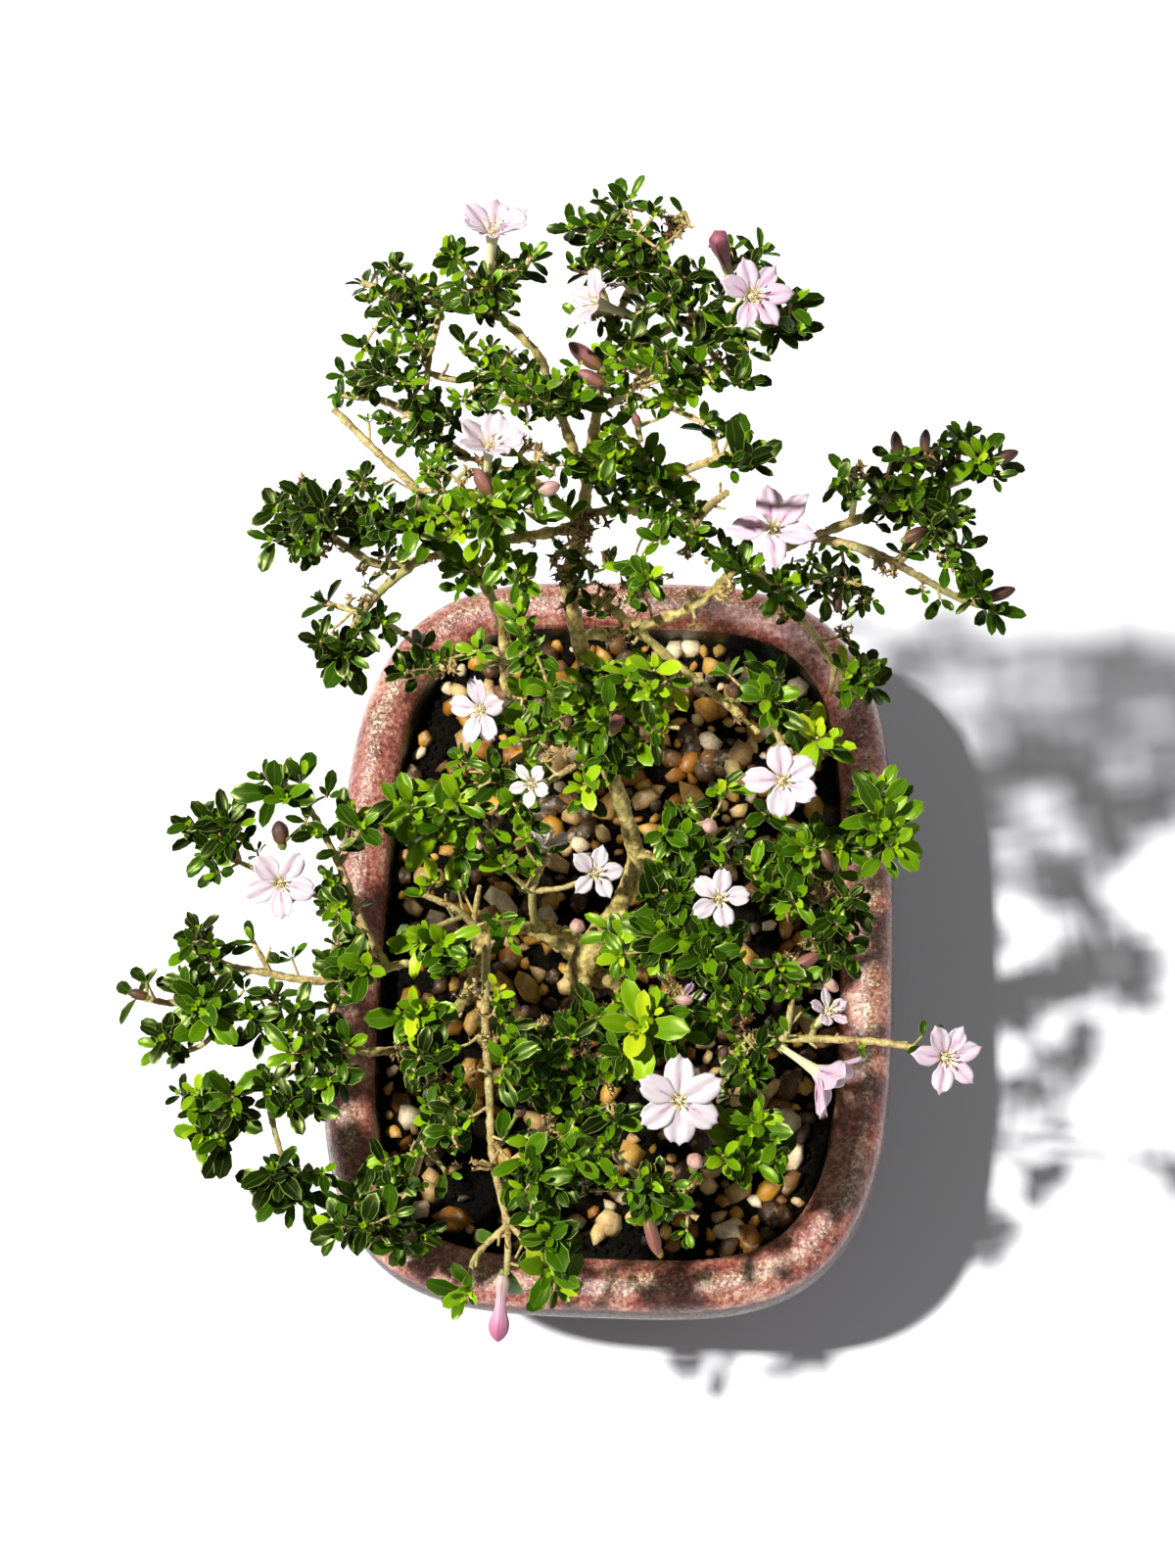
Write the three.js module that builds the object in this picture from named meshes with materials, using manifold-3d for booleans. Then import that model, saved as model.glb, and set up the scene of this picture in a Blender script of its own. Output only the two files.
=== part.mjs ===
import * as THREE from "three";
import { mergeVertices } from "three/addons/utils/BufferGeometryUtils.js";
import Module from "manifold-3d";

// A serissa grown as a bonsai, in a glazed pot with gravel on its soil.
// Millimetres, +Z up. The origin is in the middle of the pot's flat underside, the pot's
// long side runs along Y, and its front is towards -Y.

// Pot
const LIP_WIDTH = 135;
const LIP_LENGTH = 184;
const CORNER_POWER = 3.6; // how square the outline is: 2 is an ellipse
const POWER_PER_INSET = 0.05; // the inner edge is squarer than the outer one
const OUTLINE_POINTS = 28;
const FLOOR_TOP = 6;
const DRAIN_DIAMETER = 12;
const DRAIN_SIDES = 10;
const DRAIN_OFFSET = 30; // from the middle, towards the front and the back
const GROOVE_WIDTH = 6; // grooves in the underside let the drain holes run out
const GROOVE_DEPTH = 2;
// Inset from the lip's outer edge, and height, up the outside, over the lip and down inside
const POT_PROFILE = [
  [19, 0], [18, 4], [9, 22], [4.6, 45], [1.8, 46.5], [0, 52], [1.2, 57.6], [5, 60],
  [9, 59.6], [12.2, 57.4], [13, 54], [14.2, 40], [19.5, 10], [25, FLOOR_TOP],
];
const INNER_WALL = POT_PROFILE.slice(-4); // the part of it that the soil lies against

// Soil, gravel and the net over each drain hole
const GAP = 0.3; // left between pieces that touch
const TOUCH_ROOM = 0.4; // added to a stem's radius where another piece is cut back from it
const SOIL_EDGE_Z = 48;
const SOIL_RISE = 4; // of the middle above the edge
const BED_THICKNESS = 1.6;
const PEBBLES = 40;
const PEBBLE_SIZE = 6.4;
const PEBBLE_RANGE = [0.75, 1.25]; // of that size
const PEBBLE_FORM = [1.25, 1, 0.8]; // longer than wide, and flatter
const PEBBLE_TILT = 0.6; // most that one leans, in radians
const PEBBLE_LIFT = 0.25; // height of its middle above the bed, against its size
const GRAVEL_INSET = 14; // from the lip's outer edge
const GRAVEL_REACH = 0.93; // how far out the last pebble lies
const NET_SIDE = 20;
const NET_THICKNESS = 1;

// Wood: a route is a list of [x, y, z], and its radius runs evenly from one value to the next
const TRUNK_SIDES = 7;
const LIMB_SIDES = 5;
const TRUNK = {
  route: [
    [-6, -12, 44], [-6, -11, 57], [-2, -5, 66], [3, -1, 76], [7, 6, 89], [4, 14, 104], [0, 22, 121],
    [-2, 29, 138], [-4, 35, 152], [-5, 40, 163], [-2, 45, 174], [0, 51, 186], [2, 57, 198],
    [4, 64, 210], [8, 70, 220],
  ],
  radii: [6.4, 5.2, 4.2, 2.9, 2.6, 2.5, 2.6, 2.6, 2.5, 2.4, 2.2, 1.8, 1.5, 1.2, 0.9],
};
const ROOTS = [
  { route: [[-6, -11, 57], [4, -15, 54], [12, -19, 48]], radii: [3.2, 2.2, 1.2] },
  { route: [[-6, -11, 57], [-14, -6, 54], [-21, -3, 47]], radii: [3.2, 2.1, 1.1] },
  { route: [[-6, -11, 57], [-3, -2, 54], [-1, 7, 48]], radii: [3.1, 2, 1.1] },
  { route: [[-6, -11, 57], [-9, -19, 53], [-12, -26, 47]], radii: [3.1, 2, 1.1] },
];
const LIMBS = [
  { route: [[-4, -7, 62], [-10, -6, 70], [-17, -9, 82], [-25, -16, 96]], radii: [2.6, 2.3, 2, 1.8] },
  { route: [[-25, -16, 96], [-35, -23, 102], [-45, -27, 106]], radii: [1.7, 1.4, 1.1] },
  {
    route: [[-25, -16, 96], [-29, -33, 101], [-37, -43, 104], [-46, -46, 106], [-54, -46, 108]],
    radii: [1.6, 1.5, 1.3, 1.2, 1],
  },
  {
    route: [
      [0, 22, 121], [-10, 22, 119], [-18, 26, 122], [-20, 31, 133], [-20, 37, 145], [-23, 42, 154],
      [-28, 45, 161], [-35, 43, 166],
    ],
    radii: [1.8, 1.7, 1.8, 1.7, 1.6, 1.4, 1.2, 1],
  },
  { route: [[-3, 46, 174], [-11, 41, 180], [-19, 37, 185]], radii: [1.6, 1.5, 1.4] },
  {
    route: [
      [0, 50, 184], [-4, 57, 194], [-7, 63, 202], [-10, 68, 206], [-17, 73, 210], [-24, 74, 212],
    ],
    radii: [1.5, 1.4, 1.3, 1.2, 1.1, 1],
  },
  { route: [[-2, 46, 176], [-10, 51, 183], [-19, 53, 187], [-26, 54, 189]], radii: [1.3, 1.2, 1, 0.9] },
  {
    route: [
      [-3, 34, 148], [8, 33, 154], [19, 35, 159], [25, 38, 162], [30, 42, 165], [39, 45, 168],
      [50, 48, 172],
    ],
    radii: [1.7, 1.6, 1.5, 1.4, 1.3, 1.2, 1],
  },
  { route: [[-1, 47, 178], [9, 48, 178], [20, 45, 173], [29, 42, 167]], radii: [1.2, 1.1, 1, 0.9] },
  {
    route: [[-4, 38, 157], [2, 37, 158], [12, 31, 152], [20, 26, 147], [29, 21, 141], [35, 17, 137]],
    radii: [1.5, 1.4, 1.3, 1.2, 1.1, 0.9],
  },
  { route: [[-6, -11, 57], [-3, -27, 76], [-2, -44, 92]], radii: [1.7, 1.5, 1.2] },
  { route: [[3, -1, 75], [12, -18, 84], [24, -32, 93]], radii: [1.6, 1.4, 1.2] },
  { route: [[7, 7, 90], [19, 2, 97], [32, 0, 105]], radii: [1.4, 1.3, 1.1] },
];

// Leafy sprays: the first route starts in a limb and the others in an earlier one of the spray.
// A route listed in bare carries a bloom and no leaves of its own.
const TWIG = { sides: 4, radii: [0.9, 0.65] };
const SIDE_TWIG = { sides: 3, radii: [0.45, 0.5] };
const SPRAYS = [
  {
    name: "spray_top_tip", leaf: 7,
    routes: [
      [[8, 70, 220], [13, 73, 229], [20, 76, 241]], [[12, 72, 227], [9, 78, 230], [4, 81, 231]],
    ],
  },
  {
    name: "spray_top_left", leaf: 7,
    routes: [
      [[6, 67, 215], [4, 72, 219], [1, 77, 222]], [[5, 70, 217], [0, 64, 225]],
      [[3, 74, 220], [8, 72, 228]],
    ],
  },
  {
    name: "spray_crown_right", leaf: 8,
    routes: [
      [[3, 62, 207], [13, 63, 218], [21, 62, 227], [29, 59, 233], [37, 55, 237]],
      [[26, 60, 231], [28, 71, 229], [34, 77, 227]], [[20, 62, 226], [25, 58, 222], [30, 53, 219]],
      [[10, 62, 215], [12, 63, 221], [10, 64, 225]], [[29, 59, 233], [31, 58, 237]],
    ],
    bare: [3, 4],
  },
  {
    name: "spray_crown_middle", leaf: 8,
    routes: [
      [[2, 58, 200], [9, 55, 213], [15, 53, 226]], [[8, 56, 212], [17, 51, 214], [24, 47, 215]],
      [[6, 57, 207], [0, 52, 212]], [[9, 55, 213], [12, 45, 212]],
    ],
  },
  {
    name: "spray_left_top_tip", leaf: 7,
    routes: [
      [[-24, 74, 212], [-31, 78, 208], [-38, 81, 205], [-46, 87, 200]], [[-34, 79, 207], [-38, 76, 201]],
      [[-38, 81, 205], [-38, 80, 216]], [[-28, 76, 209], [-30, 64, 209], [-30, 54, 208]],
      [[-30, 68, 209], [-39, 70, 201]], [[-30, 61, 209], [-23, 60, 208], [-16, 62, 211]],
    ],
  },
  {
    name: "spray_left_top", leaf: 7.5,
    routes: [
      [[-18, 73, 210], [-22, 81, 210], [-26, 88, 208]], [[-21, 79, 210], [-14, 78, 215], [-10, 80, 220]],
      [[-21, 79, 210], [-19, 73, 224], [-16, 68, 234]],
    ],
    bare: [2],
  },
  {
    name: "spray_left_upper", leaf: 7,
    routes: [
      [[-24, 54, 188], [-33, 61, 188], [-42, 69, 184], [-53, 74, 178]], [[-32, 60, 188], [-27, 57, 200]],
      [[-28, 57, 188], [-31, 48, 195]],
    ],
  },
  {
    name: "spray_centre_left", leaf: 8,
    routes: [
      [[-10, 51, 183], [-15, 44, 192], [-21, 38, 202]], [[-14, 45, 190], [-18, 37, 194]],
      [[-12, 49, 186], [-8, 43, 207]], [[-18, 41, 196], [-18, 42, 203]],
    ],
    bare: [3],
  },
  {
    name: "spray_centre_large", leaf: 9,
    routes: [
      [[-6, 60, 198], [-7, 55, 210], [-6, 51, 221]], [[-7, 58, 204], [0, 55, 216]],
      [[-7, 55, 210], [-12, 58, 216]],
    ],
  },
  {
    name: "spray_left_far", leaf: 6.5,
    routes: [
      [[-33, 43, 165], [-44, 42, 164], [-54, 48, 163], [-63, 53, 163], [-68, 57, 162]],
      [[-54, 48, 163], [-55, 49, 177]], [[-59, 51, 163], [-63, 48, 159]],
    ],
  },
  {
    name: "spray_left_mid", leaf: 7.5,
    routes: [
      [[-31, 44, 163], [-34, 47, 176], [-34, 48, 185], [-41, 53, 190], [-51, 62, 193]],
      [[-34, 47, 176], [-41, 51, 174]], [[-34, 48, 185], [-27, 42, 197]],
    ],
  },
  {
    name: "spray_left_hanging", leaf: 8,
    routes: [
      [[-35, 43, 166], [-43, 38, 162], [-49, 36, 153], [-54, 34, 143], [-56, 33, 137]],
      [[-49, 36, 153], [-58, 40, 150]], [[-49, 36, 153], [-43, 36, 146], [-38, 35, 137]],
    ],
  },
  {
    name: "spray_centre_low_left", leaf: 9,
    routes: [
      [[-20, 31, 133], [-14, 29, 153], [-13, 26, 165]], [[-18, 30, 141], [-25, 31, 146]],
      [[-14, 29, 153], [-11, 24, 161]],
    ],
  },
  {
    name: "spray_right_far", leaf: 8,
    routes: [
      [[48, 47, 171], [59, 52, 172], [73, 58, 172], [83, 65, 171]],
      [[53, 49, 171], [53, 50, 184], [51, 50, 191]], [[63, 53, 172], [63, 57, 182], [62, 58, 188]],
      [[73, 58, 172], [75, 67, 176]],
    ],
  },
  {
    name: "spray_right_low", leaf: 8,
    routes: [
      [[45, 46, 170], [57, 44, 169], [67, 42, 162], [76, 40, 156], [83, 40, 152]],
      [[62, 43, 165], [69, 46, 173], [75, 43, 173]], [[76, 40, 156], [79, 43, 159]],
    ],
  },
  {
    name: "spray_right_hanging", leaf: 8,
    routes: [
      [[32, 43, 166], [39, 41, 155], [46, 39, 140], [52, 35, 129], [59, 33, 127]],
      [[38, 41, 157], [44, 43, 160], [50, 41, 154]], [[51, 36, 131], [50, 32, 124]],
    ],
  },
  {
    name: "spray_right_middle", leaf: 9,
    routes: [
      [[19, 45, 173], [24, 44, 187], [28, 41, 199]], [[21, 44, 179], [17, 43, 193]],
      [[23, 44, 184], [21, 33, 194]],
    ],
  },
  {
    name: "spray_right_large", leaf: 10,
    routes: [
      [[8, 48, 178], [17, 48, 192], [26, 45, 205], [32, 43, 213]], [[17, 48, 192], [12, 48, 200]],
      [[26, 45, 205], [25, 53, 203]],
    ],
  },
  {
    name: "spray_diagonal", leaf: 9,
    routes: [
      [[29, 21, 141], [32, 28, 137], [35, 31, 135]], [[30, 24, 139], [36, 25, 135], [42, 22, 130]],
      [[36, 25, 135], [41, 14, 130], [41, 10, 131], [40, 7, 134]],
    ],
    bare: [2],
  },
  {
    name: "spray_centre_bright", leaf: 10,
    routes: [
      [[-2, 29, 138], [7, 27, 141], [15, 26, 145]], [[8, 27, 141], [12, 20, 137], [18, 18, 137]],
      [[4, 28, 140], [3, 23, 134]],
    ],
  },
  {
    name: "spray_centre_rosettes", leaf: 9,
    routes: [
      [[0, 22, 121], [-4, 15, 124], [-11, 11, 122]], [[-1, 20, 122], [-8, 23, 128], [-12, 20, 129]],
      [[-2, 18, 123], [5, 17, 122]],
    ],
  },
  {
    name: "spray_left_inner_back", leaf: 8,
    routes: [
      [[-11, 22, 119], [-23, 17, 112], [-33, 10, 104], [-41, 7, 99]], [[-24, 16, 111], [-31, 20, 112]],
      [[-32, 11, 105], [-25, 3, 97]], [[-17, 19, 115], [-18, 12, 108]],
    ],
  },
  {
    name: "spray_right_rim", leaf: 9,
    routes: [
      [[32, 0, 105], [45, 0, 112], [53, 2, 118], [58, 2, 120], [65, 1, 121]], [[57, 2, 120], [61, 9, 127]],
      [[53, 2, 118], [52, -5, 110]], [[37, 0, 108], [43, -5, 104], [50, -9, 102]],
      [[43, -5, 104], [42, -12, 106]],
    ],
  },
  {
    name: "spray_right_inner", leaf: 8,
    routes: [
      [[28, 1, 103], [23, 7, 107], [20, 11, 111]], [[27, 2, 104], [33, 8, 108], [37, 9, 112]],
      [[25, 4, 105], [23, 6, 113]],
    ],
  },
  {
    name: "spray_mid_right", leaf: 8,
    routes: [
      [[12, -18, 84], [18, -16, 93], [28, -14, 99]], [[16, -17, 90], [12, -12, 96]],
      [[24, -15, 97], [30, -20, 93]], [[28, -14, 99], [26, -10, 105]],
    ],
    bare: [3],
  },
  {
    name: "spray_right_reach", leaf: 8,
    routes: [
      [[24, -32, 93], [33, -39, 99], [42, -40, 104], [52, -41, 108], [64, -43, 113], [73, -45, 113]],
      [[42, -40, 104], [44, -28, 106], [50, -20, 109], [55, -14, 112]], [[44, -28, 106], [51, -28, 103]],
      [[47, -41, 106], [48, -38, 107]], [[33, -39, 99], [36, -50, 101], [38, -62, 97]],
      [[36, -50, 101], [30, -58, 99]],
    ],
    bare: [3],
  },
  {
    name: "spray_front_bloom", leaf: 9,
    routes: [
      [[22, -30, 91], [19, -39, 102], [12, -44, 109]], [[20, -35, 98], [14, -32, 101]],
      [[17, -41, 104], [19, -48, 107], [19, -55, 109]],
    ],
    bare: [2],
  },
  {
    name: "spray_left_inner", leaf: 8,
    routes: [
      [[-25, -16, 96], [-31, -13, 105], [-38, -11, 109]], [[-30, -14, 103], [-37, -20, 110]],
      [[-28, -15, 100], [-26, -8, 107]],
    ],
  },
  {
    name: "spray_centre_inner", leaf: 8,
    routes: [
      [[-16, -8, 80], [-16, -3, 90], [-12, 4, 97]], [[-16, -3, 89], [-22, 0, 98]],
      [[-16, -3, 90], [-9, -2, 90], [-3, 0, 92]],
    ],
    bare: [2],
  },
  {
    name: "spray_front_left", leaf: 9,
    routes: [
      [[-37, -43, 104], [-34, -53, 104], [-36, -66, 97], [-42, -78, 91], [-51, -80, 88]],
      [[-34, -53, 104], [-27, -59, 103]], [[-36, -64, 98], [-30, -70, 97]], [[-42, -78, 91], [-40, -84, 88]],
    ],
  },
  {
    name: "spray_front_cascade", leaf: 10,
    routes: [
      [
        [-25, -16, 96], [-22, -41, 113], [-20, -56, 116], [-19, -69, 111], [-16, -82, 102], [-16, -91, 96],
      ],
      [[-16, -80, 104], [-10, -88, 100], [-5, -94, 97]], [[-17, -82, 102], [-23, -88, 97], [-24, -94, 94]],
      [[-19, -66, 112], [-13, -73, 110]],
    ],
  },
  {
    name: "spray_front_middle", leaf: 9,
    routes: [
      [[-2, -44, 92], [0, -59, 99], [5, -65, 101], [14, -72, 99], [24, -78, 97]],
      [[1, -60, 99], [0, -74, 99]], [[5, -65, 101], [8, -60, 106]],
      [[-2, -46, 93], [-8, -61, 104], [-10, -70, 103]],
      [[-4, -51, 97], [-11, -47, 107]], [[-1, -49, 94], [6, -50, 104]],
    ],
  },
  {
    name: "spray_left_upright", leaf: 8,
    routes: [
      [[-45, -27, 106], [-50, -20, 112], [-55, -9, 121], [-61, 1, 127], [-67, 6, 131]],
      [[-55, -9, 121], [-51, -2, 124]],
      [[-50, -20, 112], [-59, -14, 113], [-68, -11, 114], [-78, -7, 116], [-85, -6, 117]],
      [[-78, -7, 116], [-80, 0, 120]],
    ],
  },
  {
    name: "spray_left_tip", leaf: 7.5,
    routes: [
      [[-43, -26, 105], [-59, -31, 108], [-72, -30, 110], [-80, -29, 112], [-85, -25, 115]],
      [[-70, -30, 110], [-74, -24, 113]], [[-59, -31, 108], [-56, -23, 110]],
      [[-77, -29, 111], [-88, -33, 112]],
    ],
  },
  {
    name: "spray_left_tip_low", leaf: 7.5,
    routes: [
      [
        [-49, -46, 106], [-57, -43, 109], [-66, -42, 111], [-80, -39, 114], [-91, -39, 115],
        [-98, -38, 117],
      ],
      [[-77, -40, 113], [-83, -46, 109], [-88, -48, 108]], [[-66, -42, 111], [-68, -36, 114]],
      [[-57, -43, 109], [-55, -37, 111]],
    ],
  },
  {
    name: "spray_left_front", leaf: 8.5,
    routes: [
      [[-53, -46, 108], [-63, -50, 106], [-70, -54, 105], [-77, -56, 105], [-83, -57, 105]],
      [[-70, -54, 105], [-68, -62, 100], [-65, -72, 94], [-64, -76, 92]], [[-77, -56, 105], [-80, -64, 100]],
      [[-63, -50, 106], [-60, -56, 102]],
    ],
  },
];

// Leaves and petals are lobes of a plate at a stem's end. Outlines run round a lobe of width 1
// and length 1, from its right side over its tip to its left side.
const LEAF = {
  outline: [[0.42, 0.33], [0.44, 0.68], [0, 1], [-0.44, 0.68], [-0.42, 0.33]],
  thickness: 0.6,
  fold: 0.3, // how far the edges rise, against their distance from the rib
  droop: 0.12, // how far the tip falls, against the lobe's length
  rim: 0.9, // height of the lobes' roots above the stem's end
  centre: 0.9, // height of the middle above the stem's end
  notch: 0.9, // radius at the roots, between the lobes
};
const PETAL = {
  outline: [[0.5, 0.62], [0, 1], [-0.5, 0.62]],
  thickness: 0.6, fold: 0.2, droop: 0.06, rim: 2, centre: 0.7, notch: 2,
};
const LEAF_WIDTH = 0.46; // of its length
const LEAF_RANGE = [0.92, 1.08]; // of the spray's own leaf length
const PAIR_SPREADS = [1.2, 0.85]; // angle from the shoot's axis, outer and inner pair
const INNER_PAIR_LENGTH = 0.85;
const TWIG_PULL = 0.6; // a shoot's axis runs between its twig's own line and straight up
const SKY_PULL = 0.7;

// Blooms: a tube from foot to mouth, and petals spread across at the mouth
const TUBE = { sides: 5, radii: [0.7, 1.5] };
const PETAL_SPREAD = 1.3;
const PETAL_WIDTHS = { 5: 0.74, 6: 0.62 }; // of a petal's length, by their number
const BLOOMS = [
  { name: "bloom_top_left", foot: [-16, 68, 234], mouth: [-15, 72, 241], across: 13, petals: 6 },
  { name: "bloom_top", foot: [10, 64, 225], mouth: [3, 64, 230], across: 12, petals: 5 },
  { name: "bloom_crown", foot: [31, 58, 237], mouth: [33, 56, 245], across: 14, petals: 6 },
  { name: "bloom_left_upper", foot: [-18, 42, 203], mouth: [-17, 45, 210], across: 13, petals: 5 },
  { name: "bloom_right_back", foot: [38, 45, 169], mouth: [37, 43, 181], across: 18, petals: 5 },
  { name: "bloom_left", foot: [-19, 28, 127], mouth: [-25, 22, 135], across: 15, petals: 5 },
  { name: "bloom_right", foot: [40, 7, 134], mouth: [40, 4, 143], across: 16, petals: 5 },
  { name: "bloom_centre_small", foot: [-11, 11, 122], mouth: [-14, 8, 128], across: 10, petals: 5 },
  { name: "bloom_centre", foot: [-3, 0, 92], mouth: [-1, -2, 100], across: 12, petals: 5 },
  { name: "bloom_right_inner", foot: [26, -10, 105], mouth: [27, -12, 114], across: 13, petals: 5 },
  { name: "bloom_front", foot: [19, -55, 109], mouth: [20, -58, 118], across: 19, petals: 6 },
  { name: "bloom_front_right", foot: [40, -41, 103], mouth: [49, -47, 103], across: 11, petals: 5 },
  { name: "bloom_right_tip", foot: [73, -45, 113], mouth: [75, -48, 121], across: 15, petals: 6 },
  { name: "bloom_left_tip", foot: [-68, -11, 114], mouth: [-67, -14, 123], across: 15, petals: 6 },
  { name: "bloom_right_small", foot: [48, -38, 107], mouth: [51, -36, 113], across: 9, petals: 5 },
];
const BUDS = [
  { name: "bud_top", foot: [28, 71, 229], tip: [26, 72, 240], across: 4.6 },
  { name: "bud_front", foot: [-17, -91, 95], tip: [-18, -104, 88], across: 5.4 },
];
const BUD_SIDES = 6;
const BUD_KNOTS = [0, 0.35, 0.75, 1]; // stalk, calyx, the fullest place and the tip
const BUD_RADII = { stalk: 0.5, calyx: 1.1, tip: 0.6 };

const MERGE_DISTANCE = 1e-4;

const UP = new THREE.Vector3(0, 0, 1);
const vector = (point) => new THREE.Vector3(...point);

// A repeatable draw from 0 to 1
function chance(a, b) {
  const wave = Math.sin(a * 12.9898 + b * 78.233) * 43758.5453;
  return wave - Math.floor(wave);
}

// A repeatable draw from the first value of a range to the second
function draw([low, high], a, b) {
  return THREE.MathUtils.lerp(low, high, chance(a, b));
}

const wasm = await Module();
wasm.setup();

function toSolid(geometry) {
  const loose = geometry.index ? geometry.toNonIndexed() : geometry;
  loose.deleteAttribute("normal");
  loose.deleteAttribute("uv");
  const merged = mergeVertices(loose, MERGE_DISTANCE);
  return new wasm.Manifold(
    new wasm.Mesh({
      numProp: 3,
      vertProperties: Float32Array.from(merged.attributes.position.array),
      triVerts: Uint32Array.from(merged.index.array),
    }),
  );
}

function toGeometry(solid) {
  const mesh = solid.getMesh();
  const geometry = new THREE.BufferGeometry();
  geometry.setAttribute("position", new THREE.BufferAttribute(mesh.vertProperties, 3));
  geometry.setIndex(new THREE.BufferAttribute(mesh.triVerts, 1));
  const faceted = geometry.toNonIndexed();
  faceted.computeVertexNormals();
  return faceted;
}

const join = (solids) => solids.reduce((whole, solid) => whole.add(solid));
const cut = (solid, tools) => tools.reduce((left, tool) => left.subtract(tool), solid);

// The largest piece of a solid that a cut may have left in several
function largestPiece(solid) {
  return solid.decompose().reduce((best, piece) => (piece.volume() > best.volume() ? piece : best));
}

function closedMesh(points, triangles) {
  const geometry = new THREE.BufferGeometry();
  geometry.setAttribute("position", new THREE.Float32BufferAttribute(points.flat(), 3));
  geometry.setIndex(triangles.flat());
  return toSolid(geometry);
}

// One point of a rounded-rectangle ring, inset from the lip's outer edge
function outlinePoint(inset, z, step) {
  const angle = (step / OUTLINE_POINTS) * 2 * Math.PI;
  const power = 2 / (CORNER_POWER + POWER_PER_INSET * inset);
  const x = Math.sign(Math.cos(angle)) * Math.abs(Math.cos(angle)) ** power;
  const y = Math.sign(Math.sin(angle)) * Math.abs(Math.sin(angle)) ** power;
  return [x * (LIP_WIDTH / 2 - inset), y * (LIP_LENGTH / 2 - inset), z];
}

// Rings joined into one closed solid, from the middle of the first to the middle of the last.
// Either middle can stand higher than its ring.
function stackRings(rings, topRise = 0, bottomRise = 0) {
  const points = [];
  const triangles = [];
  for (const [inset, z] of rings) {
    for (let step = 0; step < OUTLINE_POINTS; step++) points.push(outlinePoint(inset, z, step));
  }
  for (let ring = 0; ring < rings.length - 1; ring++) {
    for (let step = 0; step < OUTLINE_POINTS; step++) {
      const next = (step + 1) % OUTLINE_POINTS;
      const [low, high] = [ring * OUTLINE_POINTS, (ring + 1) * OUTLINE_POINTS];
      triangles.push([low + step, low + next, high + next], [low + step, high + next, high + step]);
    }
  }
  const bottom = points.length;
  points.push([0, 0, rings[0][1] + bottomRise], [0, 0, rings.at(-1)[1] + topRise]);
  const last = (rings.length - 1) * OUTLINE_POINTS;
  for (let step = 0; step < OUTLINE_POINTS; step++) {
    const next = (step + 1) % OUTLINE_POINTS;
    triangles.push([bottom, next, step], [bottom + 1, last + step, last + next]);
  }
  return closedMesh(points, triangles);
}

function drain(y) {
  const height = 2 * FLOOR_TOP;
  const geometry = new THREE.CylinderGeometry(DRAIN_DIAMETER / 2, DRAIN_DIAMETER / 2, height, DRAIN_SIDES);
  geometry.rotateX(Math.PI / 2);
  geometry.translate(0, y, FLOOR_TOP / 2);
  return toSolid(geometry);
}

// A box over the pot's middle line, standing on a height
function box(width, depth, height, y, z) {
  const geometry = new THREE.BoxGeometry(width, depth, height);
  geometry.translate(0, y, z + height / 2);
  return toSolid(geometry);
}

function makePot() {
  const tools = [DRAIN_OFFSET, -DRAIN_OFFSET].flatMap((y) => [
    drain(y),
    box(LIP_WIDTH, GROOVE_WIDTH, 2 * GROOVE_DEPTH, y, -GROOVE_DEPTH),
  ]);
  return cut(stackRings(POT_PROFILE), tools);
}

function makeNet(y) {
  return box(NET_SIDE, NET_SIDE, NET_THICKNESS, y, FLOOR_TOP + GAP);
}

// The pot's inner wall at a height, as an inset
function wallInset(z) {
  const above = INNER_WALL.findLast((ring) => ring[1] >= z);
  const below = INNER_WALL.find((ring) => ring[1] < z) ?? above;
  const share = above === below ? 0 : (above[1] - z) / (above[1] - below[1]);
  return THREE.MathUtils.lerp(above[0], below[0], share);
}

const bedRing = (z) => [wallInset(SOIL_EDGE_Z) + GAP, z];

function makeSoil(holes) {
  const wall = INNER_WALL.slice(1).reverse().map(([inset, z]) => [inset + 2 * GAP, z + GAP]);
  const nets = [DRAIN_OFFSET, -DRAIN_OFFSET].map((y) =>
    box(NET_SIDE + 2 * GAP, NET_SIDE + 2 * GAP, NET_THICKNESS + 2 * GAP, y, FLOOR_TOP),
  );
  return cut(stackRings([...wall, bedRing(SOIL_EDGE_Z)], SOIL_RISE), [...holes, ...nets]);
}

// A thin bed of grit with pebbles standing out of it
function makeGravel(holes) {
  const over = SOIL_EDGE_Z + GAP + BED_THICKNESS;
  const bed = stackRings([bedRing(SOIL_EDGE_Z + GAP), bedRing(over)], SOIL_RISE, SOIL_RISE);
  const golden = Math.PI * (3 - Math.sqrt(5));
  const pebbles = Array.from({ length: PEBBLES }, (_, count) => {
    const reach = GRAVEL_REACH * Math.sqrt((count + 0.5) / PEBBLES);
    const size = PEBBLE_SIZE * draw(PEBBLE_RANGE, count, 1);
    const geometry = new THREE.OctahedronGeometry(size / 2, 0);
    geometry.rotateX(PEBBLE_TILT * chance(count, 3));
    geometry.scale(...PEBBLE_FORM);
    geometry.rotateZ(chance(count, 2) * Math.PI);
    geometry.translate(
      Math.cos(count * golden) * reach * (LIP_WIDTH / 2 - GRAVEL_INSET),
      Math.sin(count * golden) * reach * (LIP_LENGTH / 2 - GRAVEL_INSET),
      over + SOIL_RISE * (1 - reach) + PEBBLE_LIFT * size,
    );
    return toSolid(geometry);
  });
  return largestPiece(cut(join([bed, ...pebbles]), holes));
}

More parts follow.
